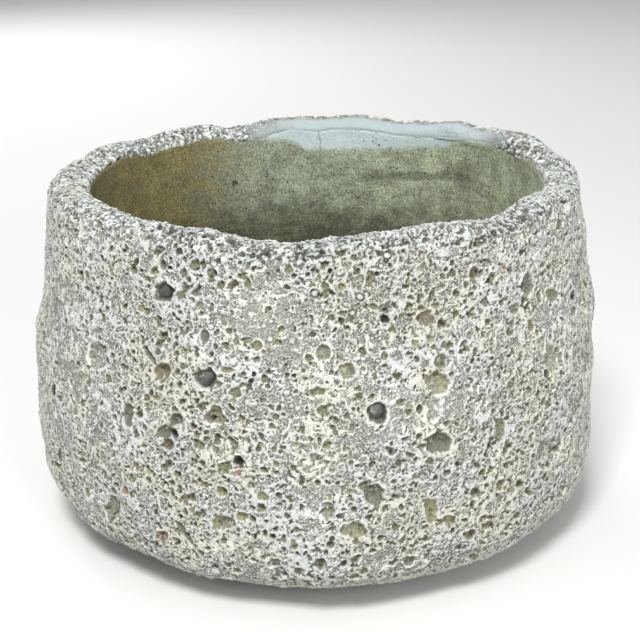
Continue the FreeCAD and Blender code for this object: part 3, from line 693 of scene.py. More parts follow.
# The foot is smoother than the wall
footLoss = 0.8
relief *= 1 - smoothStep(*zones["footFade"], rowGrid - wallStart) * footLoss
# Where the lining's upper edge meets the rim the surface is even, and below that it lies under the coat
seamForm = {"evenShare": 0.85, "evenReach": 4, "coverRun": 3, "coverDepth": -0.9}
pastRim = rimRun - rimKnots[-1]
relief *= 1 - seamForm["evenShare"] * np.exp(-(pastRim / seamForm["evenReach"]) ** 2)
relief = np.where(pastRim > seamForm["coverRun"], np.minimum(relief, seamForm["coverDepth"]), relief)


# A grid's mean over its neighbours in both directions, with its columns closed on themselves
def nearMean(grid, reach):
    span = 2 * reach + 1
    padded = np.concatenate([grid[:1]] * reach + [grid] + [grid[-1:]] * reach)
    runs = np.cumsum(np.concatenate([0 * padded[:1], padded]), axis=0)
    grid = (runs[span:] - runs[:-span]) / span
    wrapped = np.concatenate([grid[:, -reach - 1:-1], grid, grid[:, 1:reach + 1]], axis=1)
    runs = np.cumsum(np.concatenate([0 * wrapped[:, :1], wrapped], axis=1), axis=1)
    return (runs[:, span:] - runs[:, :-span]) / span


# Edges that stand out of their surroundings are painted pale, partly lime and partly painted highlight, and
# hollows are painted dark, partly grime and partly painted shade
edgeForm = {
    # grid steps to each side that count as surroundings, and the rise in millimetres that counts as 1
    "near": (2, 0.32), "far": (6, 0.75),
    # the columns behind are wider apart, so their neighbours differ more
    "backLoss": 0.32,
    "lipShare": 0.8, "paleSpan": (0.25, 0.95), "crustPale": 0.35, "fieldPale": 0.2, "paleCalmLoss": 0.65,
    "hollowSpan": (0.30, 1.4), "hollowCalmLoss": 0.4,
    "sootAndShade": 0.6, "sootAndShadeSpan": (1.5, 2.8), "sootAndShadeCalmLoss": 0.5, "pitSpan": (0.25, 0.6),
}
standOut = sum(
    0.5 * (relief - nearMean(relief, reach)) / rise for reach, rise in (edgeForm["near"], edgeForm["far"])
)
standOut *= 1 - edgeForm["backLoss"] * smoothStep(*zones["wideColumns"], backTurn)

# Fields of pale bloom, with painted light adding more of it low on the wall and painted shade taking some
# away in the middle of the front
paleForm = {
    "lowGain": 0.35, "lowSpan": (0.75, 0.15), "frontLoss": 0.45, "share": 0.75, "calmLoss": 0.85,
    "rimLoss": 0.6, "grain": 1.5, "grainCalmLoss": 0.4,
    # azimuth, share of the height, half width in degrees, half height
    "front": (0, 0.5, 24, 0.35),
}
pale = np.clip(0.5 + 0.9 * wallNoise("pale") + 0.5 * wallNoise("finePale"), 0, 1)
# Paler low on the wall: painted light
pale += paleForm["lowGain"] * smoothStep(*paleForm["lowSpan"], levelGrid)
# Darker in the middle of the front: painted shade
pale -= paleForm["frontLoss"] * bumpShape(azimuthGrid, levelGrid, *paleForm["front"])
pale = paleForm["share"] * pale * (1 - paleForm["calmLoss"] * calm) * (1 - paleForm["rimLoss"] * rimTop)
pale += paleForm["grain"] * grainJitter * (1 - paleForm["grainCalmLoss"] * calm)
pale = np.clip(pale, 0, 1)

paleEdges = standOut + edgeForm["crustPale"] * crust + edgeForm["fieldPale"] * (pale - 0.5)
paleEdges = smoothStep(*edgeForm["paleSpan"], paleEdges) * (1 - edgeForm["paleCalmLoss"] * calm)
ridge = np.maximum(edgeForm["lipShare"] * ridge, paleEdges)
ridge = np.maximum(ridge, crust * (0.35 + 0.8 * grainJitter))
ridge = np.maximum(ridge, lines)
darkEdges = smoothStep(*edgeForm["hollowSpan"], -standOut)
hollow = np.maximum(hollow, darkEdges * (1 - edgeForm["hollowCalmLoss"] * calm))
# The deepest hollows are painted near-black: painted shade
deepEdges = edgeForm["sootAndShade"] * smoothStep(*edgeForm["sootAndShadeSpan"], -standOut)
sootAndShade = np.maximum(sootAndShade, deepEdges * (1 - edgeForm["sootAndShadeCalmLoss"] * calm))
ridge *= 1 - smoothStep(*edgeForm["pitSpan"], hollow)
ridge *= 1 - rimForm["lipLoss"] * rimTop
ridge = np.maximum(ridge, rimForm["pale"] * smoothStep(*rimForm["paleSpan"], rimTone))
hollow = np.maximum(hollow, rimForm["hollow"] * smoothStep(*rimForm["hollowSpan"], -rimTone))
sootAndShade = np.maximum(sootAndShade, rimForm["sootAndShade"] * smoothStep(*rimForm["sootAndShadeSpan"], -rimTone))

surfacePlaces = formPlaces + formNormals * relief[..., None]
# The finished surface stays inside the box of the CAD
boxMargin = 0.02
surfacePlaces = np.clip(surfacePlaces, cadLow + boxMargin, cadHigh - boxMargin)
surfacePlaces[:, -1] = surfacePlaces[:, 0]
surfaceNormals = gridNormals(surfacePlaces)
print("relief", round(float(relief.min()), 2), round(float(relief.max()), 2))


# A sheet from a block of rows and columns, with its masks. A closed one has its seam merged.
def surfacePiece(name, places, normals, masks, closed=False):
    rows, columns = places.shape[:2]
    bm = bmesh.new()
    bmesh.ops.create_grid(bm, x_segments=columns - 1, y_segments=rows - 1, size=1)
    mesh = bpy.data.meshes.new(name)
    bm.to_mesh(mesh)
    bm.free()
    mesh.vertices.foreach_set("co", (places / 1000).astype(np.float32).ravel())
    directions = mesh.attributes.new("facingOut", "FLOAT_VECTOR", "POINT").data
    directions.foreach_set("vector", normals.astype(np.float32).ravel())
    for maskName, values in masks.items():
        shares = mesh.attributes.new(maskName, "FLOAT", "POINT").data
        shares.foreach_set("value", values.astype(np.float32).ravel())
    mesh.update()
    if closed:
        bm = bmesh.new()
        bm.from_mesh(mesh)
        bmesh.ops.remove_doubles(bm, verts=bm.verts, dist=1e-6)
        bm.to_mesh(mesh)
        bm.free()
    mesh.polygons.foreach_set("use_smooth", np.ones(len(mesh.polygons), dtype=bool))
    outward = np.zeros(len(mesh.vertices) * 3, dtype=np.float32)
    mesh.attributes["facingOut"].data.foreach_get("vector", outward)
    mesh.attributes.remove(mesh.attributes["facingOut"])
    mesh.normals_split_custom_set_from_vertices(outward.reshape(-1, 3))
    mesh.update()
    piece = bpy.data.objects.new(name, mesh)
    bpy.context.collection.objects.link(piece)
    print("piece", name, len(mesh.polygons) * 2)
    return piece


rimMask = (0.2 * onRim + 0.8 * rimTop) * (0.7 + 0.5 * wallNoise("rimTone"))
facingMasks = {
    "hollow": hollow, "ridge": ridge, "calm": calm, "ochre": ochre, "rust": rust, "sootAndShade": sootAndShade, "pale": pale,
    "backCoat": backCoat, "rim": rimMask,
}


def facingPiece(name, rows, columns, closed=False):
    masks = {key: np.clip(grid[rows, columns], 0, 1) for key, grid in facingMasks.items()}
    piece = surfacePiece(name, surfacePlaces[rows, columns], surfaceNormals[rows, columns], masks, closed)
    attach(piece, "root")
    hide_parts("outer_shell")
    return piece


wallNames = {
    "facing_left": (-90, -45), "facing_front_left": (-45, 0), "facing_front_right": (0, 45),
    "facing_right": (45, 90), "facing_back_right": (90, 180), "facing_back_left": (180, 270),
}
facingPieces = []
for name, (start, end) in wallNames.items():
    first, last = (int(np.argmin(np.abs(columnAzimuths - edge))) for edge in (start, end))
    facingPieces.append(facingPiece(name, slice(wallStart, rimStart + 1), slice(first, last + 1)))
allColumns = slice(0, len(columnAzimuths))
facingPieces.append(facingPiece("facing_rim", slice(rimStart, len(formPlaces)), allColumns, closed=True))
facingPieces.append(facingPiece("facing_foot", slice(0, wallStart + 1), allColumns, closed=True))

# The smooth lining: a thin coat from just under the crest to the floor and the drain, in millimetres
liningForm = {
    "topDrop": 7.0, "topWave": 1.6, "proud": 0.3, "ledgeDrop": 17.0, "floorTop": 31.0, "facingFloor": 14.0,
    "lean": 10.5, "cove": 12.0, "drain": 11.5, "unevenness": 0.35,
    # noises of the upper edge and of the trowelling: size and seed
    "topNoise": (7.0, 101), "topNoiseRadius": 60.0, "trowelNoise": (26.0, 103), "dabNoise": (8.0, 104),
    "trowelStretch": 2.2, "dabShare": 0.4,
    "columns": 480, "wallRows": 96, "coveRows": 10, "floorRows": 44, "rowPower": 1.3,
    # rows over which the unevenness fades at the drain and at the upper edge
    "drainFade": 6, "topFade": 6,
    # how far the first rows stand proud, and the row from which the coat thins to its last value
    "proudTop": (-1.8, -0.5, 0.0, 0.2), "thinRow": 40, "proudEnd": 0.05,
}
liningAzimuths = np.linspace(-180, 180, liningForm["columns"] + 1)
ledge = wallForm["crestHeight"] - liningForm["ledgeDrop"]
opening = wallForm["openingWidth"] / 2
topPlaces = roundPlaces(liningAzimuths, liningForm["topNoiseRadius"] + 0 * liningAzimuths, 0)
topWave = liningForm["topWave"] * softNoise(topPlaces, *liningForm["topNoise"])
liningTop = crestHeights(liningAzimuths) - liningForm["topDrop"] - topWave


def liningRadius(height):
    return opening - liningForm["lean"] * np.maximum(ledge - height, 0) / (ledge - liningForm["facingFloor"])


cove = liningForm["cove"]
coveTop = liningForm["floorTop"] + cove
wallShares = np.linspace(0, 1, liningForm["wallRows"]) ** liningForm["rowPower"]
liningHeights = liningTop + (coveTop - liningTop) * wallShares[:, None]
liningRadii = liningRadius(liningHeights)
coveTurns = np.radians(np.linspace(0, 90, liningForm["coveRows"] + 1)[1:])
floorEdge = liningRadius(coveTop) - cove
coveRadii = floorEdge + cove * np.cos(coveTurns)
coveHeights = coveTop - cove * np.sin(coveTurns)
floorRadii = np.linspace(floorEdge, liningForm["drain"], liningForm["floorRows"] + 1)[1:]
allRound = np.ones(len(liningAzimuths))
lowRadii = np.concatenate([coveRadii, floorRadii])
lowHeights = np.concatenate([coveHeights, liningForm["floorTop"] + 0 * floorRadii])
liningRadii = np.concatenate([liningRadii, lowRadii[:, None] * allRound])
liningHeights = np.concatenate([liningHeights, lowHeights[:, None] * allRound])
liningPlaces = roundPlaces(liningAzimuths, liningRadii, liningHeights)
liningPlaces[:, -1] = liningPlaces[:, 0]
liningNormals = gridNormals(liningPlaces)
trowelPlaces = liningPlaces * np.array([1, 1, liningForm["trowelStretch"]])
trowel = softNoise(trowelPlaces, *liningForm["trowelNoise"])
trowel += liningForm["dabShare"] * softNoise(liningPlaces, *liningForm["dabNoise"])
rowCount = len(liningPlaces)
fade = smoothStep(0, liningForm["topFade"], np.arange(rowCount))
fade[-liningForm["drainFade"]:] = np.linspace(1, 0, liningForm["drainFade"])
proud = np.full(rowCount, liningForm["proud"])
proud[:len(liningForm["proudTop"])] = liningForm["proudTop"]
thinRow = liningForm["thinRow"]
proud[thinRow:] = np.linspace(liningForm["proud"], liningForm["proudEnd"], rowCount - thinRow)
shift = proud[:, None] + liningForm["unevenness"] * trowel * fade[:, None]
liningPlaces = liningPlaces + liningNormals * shift[..., None]
liningPlaces[:, -1] = liningPlaces[:, 0]
liningNormals = gridNormals(liningPlaces)

# Upper edge of the green growth on the lining: millimetres under the mean crest, every 12 degrees from
# the back
stainDrops = (
    21, 13, 4, 1, -1, -1, -1, -1, -1, -1, -1, -1, 2, 4, 5, 5,
    5, 5, 5, 5, 4, 3, 2, 0.5, -0.8, 1, 4, 13, 17, 20,
)
stainHeights = wallForm["crestHeight"] - roundValue(stainDrops, liningAzimuths)
stainEdge = stainHeights / 1000 * np.ones(liningPlaces.shape[:2])
liningPiece = surfacePiece("lining_coat", liningPlaces, liningNormals, {"stainEdge": stainEdge}, closed=True)
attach(liningPiece, "root")
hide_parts("inner_lining")

# Dark stones, broken flat on some sides: cuts lie at even turns round the stone, reaches in its radii
stoneForm = {
    "count": 4, "subdivisions": 4, "cuts": 7, "cutTurn": 2.4, "cutReach": 0.90, "reachChange": 0.12,
    "reachTurn": 3.1, "grow": 1.15, "sharpAngle": 0.35, "bevel": 0.04,
}
stonePieces = []
for index in range(stoneForm["count"]):
    low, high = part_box(f"stone_{index + 1}")
    middle, half = (high + low) / 2, (high - low) / 2
    bm = bmesh.new()
    bmesh.ops.create_icosphere(bm, subdivisions=stoneForm["subdivisions"], radius=1)
    for cut in range(stoneForm["cuts"]):
        turn = stoneForm["cutTurn"] * cut + index
        tip = math.acos(1 - 2 * (cut + 0.5) / stoneForm["cuts"])
        side = (math.sin(tip) * math.cos(turn), math.sin(tip) * math.sin(turn), math.cos(tip))
        change = math.sin(stoneForm["reachTurn"] * cut + 2 * index)
        reach = stoneForm["cutReach"] + stoneForm["reachChange"] * change
        result = bmesh.ops.bisect_plane(
            bm, geom=list(bm.verts) + list(bm.edges) + list(bm.faces), dist=1e-5,
            plane_co=[reach * part for part in side], plane_no=side, clear_outer=True,
        )
        rim = [item for item in result["geom_cut"] if isinstance(item, bmesh.types.BMEdge)]
        bmesh.ops.edgeloop_fill(bm, edges=rim)
    folds = [edge for edge in bm.edges if edge.is_manifold]
    sharp = [edge for edge in folds if edge.calc_face_angle() > stoneForm["sharpAngle"]]
    bmesh.ops.bevel(
        bm, geom=sharp, offset=stoneForm["bevel"], offset_type="OFFSET", affect="EDGES",
        segments=1, profile=0.5, material=-1,
    )
    bmesh.ops.scale(bm, vec=[part * stoneForm["grow"] for part in half], verts=bm.verts)
    bmesh.ops.translate(bm, vec=middle, verts=bm.verts)
    bmesh.ops.recalc_face_normals(bm, faces=bm.faces)
    mesh = bpy.data.meshes.new(f"pebble_{index + 1}")
    bm.to_mesh(mesh)
    bm.free()
    pebble = bpy.data.objects.new(f"pebble_{index + 1}", mesh)
    bpy.context.collection.objects.link(pebble)
    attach(pebble, "root")
    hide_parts(f"stone_{index + 1}")
    stonePieces.append(pebble)
print("stones", len(stonePieces))


# Adds a node, with values for its own settings and for its inputs by name
def addNode(tree, kind, settings=None, **inputs):
    node = tree.nodes.new(kind)
    for key, value in (settings or {}).items():
        setattr(node, key, value)
    for key, value in inputs.items():
        node.inputs[key.replace("_", " ")].default_value = value
    return node


# Feeds a socket from another one, or with a fixed value
def feed(tree, value, socket):
    if isinstance(value, bpy.types.NodeSocket):
        tree.links.new(value, socket)
    else:
        socket.default_value = value


def mixColours(tree, factor, first, second):
    node = addNode(tree, "ShaderNodeMix", {"data_type": "RGBA"})
    for value, place in ((factor, 0), (first, 6), (second, 7)):
        feed(tree, value, node.inputs[place])
    return node.outputs[2]


def calculate(tree, operation, *values):
    node = addNode(tree, "ShaderNodeMath", {"operation": operation})
    for value, socket in zip(values, node.inputs):
        feed(tree, value, socket)
    return node.outputs[0]


# Lays a tone over a colour where a mask says so, by the given share
def tint(tree, colour, mask, share, tone):
    return mixColours(tree, calculate(tree, "MULTIPLY", mask, share), colour, tone)


# A value spread from one range to 0 to 1
def spread(tree, value, low, high):
    node = addNode(tree, "ShaderNodeMapRange", {"interpolation_type": "SMOOTHSTEP"})
    for source, name in ((value, "Value"), (low, "From Min"), (high, "From Max")):
        feed(tree, source, node.inputs[name])
    return node.outputs["Result"]


# Distance of each point from one place, in metres
def distanceTo(tree, point, place):
    node = addNode(tree, "ShaderNodeVectorMath", {"operation": "DISTANCE"})
    feed(tree, point, node.inputs[0])
    feed(tree, place, node.inputs[1])
    return node.outputs["Value"]


def noiseValue(tree, vector, scale, detail=3.0, roughness=0.55):
    node = addNode(tree, "ShaderNodeTexNoise", Scale=scale, Detail=detail, Roughness=roughness)
    tree.links.new(vector, node.inputs["Vector"])
    return node.outputs["Fac"]


def maskValue(tree, name):
    return addNode(tree, "ShaderNodeAttribute", {"attribute_name": name}).outputs["Fac"]


def makeGroup(name, inputs, outputs):
    group = bpy.data.node_groups.new(name, "ShaderNodeTree")
    for label, value in inputs.items():
        socket = group.interface.new_socket(name=label, in_out="INPUT", socket_type="NodeSocketFloat")
        socket.default_value = value
    for label, kind in outputs.items():
        group.interface.new_socket(name=label, in_out="OUTPUT", socket_type=kind)
    return group, group.nodes.new("NodeGroupInput"), group.nodes.new("NodeGroupOutput")


# Fine cement: sand grains, pin-sized holes and cloudy tone, all in object space
cementForm = {
    # what the group takes: millimetres, millimetres, and the share of spots that are holes
    "inputs": {"Grain Size": 1.0, "Pinhole Size": 2.4, "Pinhole Share": 0.2},
    "grainDetail": 4.0, "grainRoughness": 0.65, "grainSpan": (0.34, 0.68),
    # radius of the holes as share of their spacing: how much it differs, the least, and the soft edge
    "holeRange": 0.22, "holeLeast": 0.14, "holeEdge": 0.08,
    "cloud": (28.0, 4.0, 0.6),
}


def makeCementGrain():
    form = cementForm
    outputs = {label: "NodeSocketFloat" for label in ("Grain", "Pinholes", "Cloud", "Height")}
    tree, given, made = makeGroup("cementGrain", form["inputs"], outputs)
    place = addNode(tree, "ShaderNodeTexCoord").outputs["Object"]
    grainNode = addNode(
        tree, "ShaderNodeTexNoise", Detail=form["grainDetail"], Roughness=form["grainRoughness"],
    )
    holeNode = addNode(tree, "ShaderNodeTexVoronoi", {"feature": "F1"})
    for node, size in ((grainNode, "Grain Size"), (holeNode, "Pinhole Size")):
        tree.links.new(place, node.inputs["Vector"])
        tree.links.new(calculate(tree, "DIVIDE", 1000.0, given.outputs[size]), node.inputs["Scale"])
    grain = spread(tree, grainNode.outputs["Fac"], *form["grainSpan"])
    separate = addNode(tree, "ShaderNodeSeparateColor")
    tree.links.new(holeNode.outputs["Color"], separate.inputs["Color"])
    chosen = calculate(tree, "LESS_THAN", separate.outputs["Red"], given.outputs["Pinhole Share"])
    size = calculate(tree, "MULTIPLY_ADD", separate.outputs["Green"], form["holeRange"], form["holeLeast"])
    near = spread(tree, holeNode.outputs["Distance"], calculate(tree, "ADD", size, form["holeEdge"]), size)
    pinholes = calculate(tree, "MULTIPLY", near, chosen)
    cloud = noiseValue(tree, place, *form["cloud"])
    height = calculate(tree, "SUBTRACT", grain, pinholes)
    for value, label in ((grain, "Grain"), (pinholes, "Pinholes"), (cloud, "Cloud"), (height, "Height")):
        tree.links.new(value, made.inputs[label])
    return tree


cementGrain = makeCementGrain()


def newMaterial(name):
    material = bpy.data.materials.new(name)
    material.use_nodes = True
    tree = material.node_tree
    tree.nodes.clear()
    shader = addNode(tree, "ShaderNodeBsdfPrincipled")
    output = addNode(tree, "ShaderNodeOutputMaterial")
    tree.links.new(shader.outputs["BSDF"], output.inputs["Surface"])
    return material, tree, shader


def placeGroup(tree, group, **inputs):
    return addNode(tree, "ShaderNodeGroup", {"node_tree": group}, **inputs)


def addBump(tree, shader, height, strength, distance):
    node = addNode(tree, "ShaderNodeBump", Strength=strength, Distance=distance)
    tree.links.new(height, node.inputs["Height"])
    tree.links.new(node.outputs["Normal"], shader.inputs["Normal"])


facingFinish = {
    "sand": (0.64, 0.655, 0.585, 1), "sandDark": (0.14, 0.15, 0.12, 1), "limeAndHighlight": (0.92, 0.95, 0.93, 1),
    "cream": (0.92, 0.915, 0.81, 1), "floor": (0.20, 0.205, 0.13, 1), "ochre": (0.45, 0.42, 0.20, 1),
    "rust": (0.46, 0.26, 0.14, 1), "sootAndShade": (0.03, 0.03, 0.027, 1), "coat": (0.45, 0.52, 0.535, 1),
    "even": (0.31, 0.325, 0.295, 1), "rimSand": (0.38, 0.405, 0.405, 1), "rimFloor": (0.12, 0.125, 0.12, 1),
    "cement": {"Grain_Size": 1.05, "Pinhole_Size": 1.9, "Pinhole_Share": 0.30},
    "roughness": 0.93, "bump": (1.0, 0.0009),
    # spans of the masks that go from none to all
    "grainSpan": (0.12, 0.88), "creamSpan": (0.36, 0.58), "ridgeSpan": (0.04, 0.68),
    "hollowSpan": (0.05, 0.80),
    # how much each tone covers, and how much more of it and at least with more grain or roughness
    "calmShare": 0.55, "hollowShare": 0.70, "sootAndShadeShare": 0.95, "coatShare": 0.85,
    "bloomAndLight": (0.45, 0.10), "mottle": (0.5, 0.4), "holes": (0.55, 0.30), "bumpByRough": (0.7, 0.3),
}


def makeFacing():
    material, tree, shader = newMaterial("facingConcrete")
    finish = facingFinish
    cement = placeGroup(tree, cementGrain, **finish["cement"])
    masks = {name: maskValue(tree, name) for name in facingMasks}
    grain = spread(tree, cement.outputs["Grain"], *finish["grainSpan"])
    sand = mixColours(tree, masks["rim"], finish["sand"], finish["rimSand"])
    floor = mixColours(tree, masks["rim"], finish["floor"], finish["rimFloor"])
    colour = mixColours(tree, grain, finish["sandDark"], sand)
    creamCloud = spread(tree, cement.outputs["Cloud"], *finish["creamSpan"])
    creamShare = calculate(tree, "MAXIMUM", calculate(tree, "SUBTRACT", creamCloud, masks["rim"]), 0.0)
    limeAndHighlight = mixColours(tree, creamShare, finish["limeAndHighlight"], finish["cream"])
    bloomAndLight = calculate(tree, "MULTIPLY_ADD", grain, *finish["bloomAndLight"])
    # The pale tone: lime bloom, with painted light low on the wall and painted shade in the middle of the
    # front
    colour = tint(tree, colour, masks["pale"], bloomAndLight, limeAndHighlight)
    colour = tint(tree, colour, masks["calm"], finish["calmShare"], finish["even"])
    # Lips and raised edges turn pale: partly lime, partly painted highlight
    colour = mixColours(tree, spread(tree, masks["ridge"], *finish["ridgeSpan"]), colour, limeAndHighlight)
    # Pit floors and hollows turn dark olive: partly grime, partly painted shade
    hollows = spread(tree, masks["hollow"], *finish["hollowSpan"])
    colour = tint(tree, colour, hollows, finish["hollowShare"], floor)
    mottle = calculate(tree, "MULTIPLY_ADD", grain, *finish["mottle"])
    colour = tint(tree, colour, masks["ochre"], mottle, finish["ochre"])
    colour = tint(tree, colour, masks["rust"], mottle, finish["rust"])
    rough = calculate(tree, "SUBTRACT", 1.0, masks["calm"])
    holeShare = calculate(tree, "MULTIPLY_ADD", rough, *finish["holes"])
    colour = tint(tree, colour, cement.outputs["Pinholes"], holeShare, floor)
    # Near-black in deep pits and recesses: partly soot, partly painted shade
    colour = tint(tree, colour, masks["sootAndShade"], finish["sootAndShadeShare"], finish["sootAndShade"])
    colour = tint(tree, colour, masks["backCoat"], finish["coatShare"], finish["coat"])
    tree.links.new(colour, shader.inputs["Base Color"])
    shader.inputs["Roughness"].default_value = finish["roughness"]
    bumpShare = calculate(tree, "MULTIPLY_ADD", rough, *finish["bumpByRough"])
    addBump(tree, shader, calculate(tree, "MULTIPLY", cement.outputs["Height"], bumpShare), *finish["bump"])
    return material


liningFinish = {
    "coat": (0.40, 0.445, 0.33, 1), "right": (0.53, 0.59, 0.40, 1), "left": (0.27, 0.225, 0.08, 1),
    # low is the dark tone of stains, and also of the painted shade deep inside
    "low": (0.040, 0.042, 0.018, 1), "bare": (0.50, 0.585, 0.605, 1), "dot": (0.04, 0.04, 0.035, 1),
    "streak": (0.25, 0.27, 0.15, 1),
    "cement": {"Grain_Size": 1.4, "Pinhole_Size": 2.3, "Pinhole_Share": 0.13},
    "roughness": 0.8, "bump": (0.5, 0.0004),
    # noises over the coat: scale, detail and roughness
    "streaks": (32.0, 4.0, 0.6), "blotches": (70.0, 6.0, 0.72), "stainNoise": (110.0, 5.0, 0.7),
    "crackNoise": (120.0, 2.0), "streakStretch": (1, 1, 7),
    # metres sideways or up over which one tone turns into the next
    "rightSpan": (-0.02, 0.12), "leftSpan": (-0.085, -0.16), "lowSpan": (0.212, 0.166),
    "bareSpan": (0.002, 0.008), "dampSpan": (0.005, 0.001), "dampStart": (0.02, 0.045),
    "dampEnd": (0.125, 0.105), "blotchSpan": (0.024, 0.012), "spotSpan": (0.0046, 0.0034),
    "crackSpan": (0.0005, 0.0002), "crackRise": (0.188, 0.208),
    # how far noise moves the edges, in metres
    "leftWander": -0.10, "lowWander": 0.05, "bareWander": 0.009, "dampWander": 0.008,
    "blotchWander": 0.012, "spotWander": 0.0015, "crackWander": 0.006,
    # where the damp line, the crack, a blotch and a dark spot lie, in metres
    "dampHeight": 0.1844, "dampSlope": 0.154, "crackSide": 0.0024,
    "blotchPlace": (0.108, 0.097, 0.205), "spotPlace": (-0.0624, 0.1330, 0.1890),
    # spans of noise that go from none to all
    "streakSpan": (0.5, 0.66), "shadeSpan": (0.66, 0.36), "speckSpan": (0.9, 0.0), "dustSpan": (0.6, 1.0),
    # how much each tone covers
    "lowShare": 0.9, "streakShare": 0.45, "shadeShare": 0.42, "speckShare": 0.55, "dustShare": 0.12,
    "dampShare": 0.5, "blotchShare": 0.45, "bareShare": (0.25, 0.72), "holeShare": 0.85, "crackShare": 0.5,
}


def makeLining():
    material, tree, shader = newMaterial("liningCement")
    finish = liningFinish
    cement = placeGroup(tree, cementGrain, **finish["cement"])
    grain = cement.outputs["Grain"]
    place = addNode(tree, "ShaderNodeTexCoord").outputs["Object"]
    split = addNode(tree, "ShaderNodeSeparateXYZ")
    tree.links.new(place, split.inputs[0])
    sideways, deep, high = split.outputs
    stretched = addNode(tree, "ShaderNodeMapping", Scale=finish["streakStretch"])
    tree.links.new(place, stretched.inputs["Vector"])
    streaks = noiseValue(tree, stretched.outputs[0], *finish["streaks"])
    blotches = noiseValue(tree, place, *finish["blotches"])
    # Paler and greener towards the right, partly growth and partly painted light; browner and darker towards
    # the left, partly stain and partly painted shade
    rightShare = spread(tree, sideways, *finish["rightSpan"])
    colour = mixColours(tree, rightShare, finish["coat"], finish["right"])
    leftShare = calculate(tree, "MULTIPLY_ADD", blotches, finish["leftWander"], sideways)
    colour = mixColours(tree, spread(tree, leftShare, *finish["leftSpan"]), colour, finish["left"])
    # The coat is painted darker towards the bottom: partly stain, partly painted shade deep inside
    lowShare = calculate(tree, "MULTIPLY_ADD", blotches, finish["lowWander"], high)
    overlays = (
        (spread(tree, lowShare, *finish["lowSpan"]), "lowShare", "low"),
        (spread(tree, streaks, *finish["streakSpan"]), "streakShare", "streak"),
        (spread(tree, blotches, *finish["shadeSpan"]), "shadeShare", "low"),
        (spread(tree, grain, *finish["speckSpan"]), "speckShare", "low"),
        (spread(tree, grain, *finish["dustSpan"]), "dustShare", "bare"),
    )
    for mask, share, tone in overlays:
        colour = tint(tree, colour, mask, finish[share], finish[tone])

    # A sloping line left by standing water
    dampMiddle = finish["dampHeight"] + finish["dampWander"] / 2
    level = calculate(tree, "SUBTRACT", high, dampMiddle)
    level = calculate(tree, "MULTIPLY_ADD", blotches, finish["dampWander"], level)
    level = calculate(tree, "MULTIPLY_ADD", sideways, -finish["dampSlope"], level)
    damp = spread(tree, calculate(tree, "ABSOLUTE", level), *finish["dampSpan"])
    for span in ("dampStart", "dampEnd"):
        damp = calculate(tree, "MULTIPLY", damp, spread(tree, sideways, *finish[span]))
    colour = tint(tree, colour, damp, finish["dampShare"], finish["low"])

    blotchGap = distanceTo(tree, place, finish["blotchPlace"])
    blotchGap = calculate(tree, "MULTIPLY_ADD", blotches, finish["blotchWander"], blotchGap)
    blotch = spread(tree, blotchGap, *finish["blotchSpan"])
    colour = tint(tree, colour, blotch, finish["blotchShare"], finish["low"])
    spotGap = distanceTo(tree, place, finish["spotPlace"])
    spotGap = calculate(tree, "MULTIPLY_ADD", grain, finish["spotWander"], spotGap)
    colour = mixColours(tree, spread(tree, spotGap, *finish["spotSpan"]), colour, finish["dot"])

    # The bare band above the growth
    overEdge = calculate(tree, "SUBTRACT", high, maskValue(tree, "stainEdge"))
    stainNoise = noiseValue(tree, place, *finish["stainNoise"])
    overEdge = calculate(tree, "MULTIPLY_ADD", stainNoise, finish["bareWander"], overEdge)
    bareShare = calculate(tree, "MULTIPLY_ADD", grain, *finish["bareShare"])
    colour = tint(tree, colour, spread(tree, overEdge, *finish["bareSpan"]), bareShare, finish["bare"])
    colour = tint(tree, colour, cement.outputs["Pinholes"], finish["holeShare"], finish["dot"])

    # A hair crack down the back
    wander = calculate(tree, "SUBTRACT", sideways, finish["crackSide"] + finish["crackWander"] / 2)
    crackNoise = noiseValue(tree, place, *finish["crackNoise"])
    wander = calculate(tree, "MULTIPLY_ADD", crackNoise, finish["crackWander"], wander)
    crack = spread(tree, calculate(tree, "ABSOLUTE", wander), *finish["crackSpan"])
    crack = calculate(tree, "MULTIPLY", crack, calculate(tree, "GREATER_THAN", deep, 0.0))
    crack = calculate(tree, "MULTIPLY", crack, spread(tree, high, *finish["crackRise"]))
    colour = tint(tree, colour, crack, finish["crackShare"], finish["dot"])
    tree.links.new(colour, shader.inputs["Base Color"])
    shader.inputs["Roughness"].default_value = finish["roughness"]
    addBump(tree, shader, cement.outputs["Height"], *finish["bump"])
    return material


plainConcretes = {
    "backingConcrete": {"pale": (0.24, 0.23, 0.20, 1), "dark": (0.12, 0.115, 0.10, 1), "grain": 1.8},
    "slabConcrete": {"pale": (0.36, 0.35, 0.31, 1), "dark": (0.20, 0.195, 0.17, 1), "grain": 1.5},
}
# What holds for both
concreteForm = {
    "holes": {"Pinhole_Size": 4.5, "Pinhole_Share": 0.3},
    "cloudSpan": (0.4, 0.7), "roughness": 0.92, "bump": (0.7, 0.0006),
}


def makeConcrete(name):
    material, tree, shader = newMaterial(name)
    finish = plainConcretes[name]
    cement = placeGroup(tree, cementGrain, Grain_Size=finish["grain"], **concreteForm["holes"])
    cloud = spread(tree, cement.outputs["Cloud"], *concreteForm["cloudSpan"])
    colour = mixColours(tree, cement.outputs["Grain"], finish["dark"], finish["pale"])
    colour = mixColours(tree, cloud, colour, finish["pale"])
    colour = mixColours(tree, cement.outputs["Pinholes"], colour, finish["dark"])
    tree.links.new(colour, shader.inputs["Base Color"])
    shader.inputs["Roughness"].default_value = concreteForm["roughness"]
    addBump(tree, shader, cement.outputs["Height"], *concreteForm["bump"])
    return material


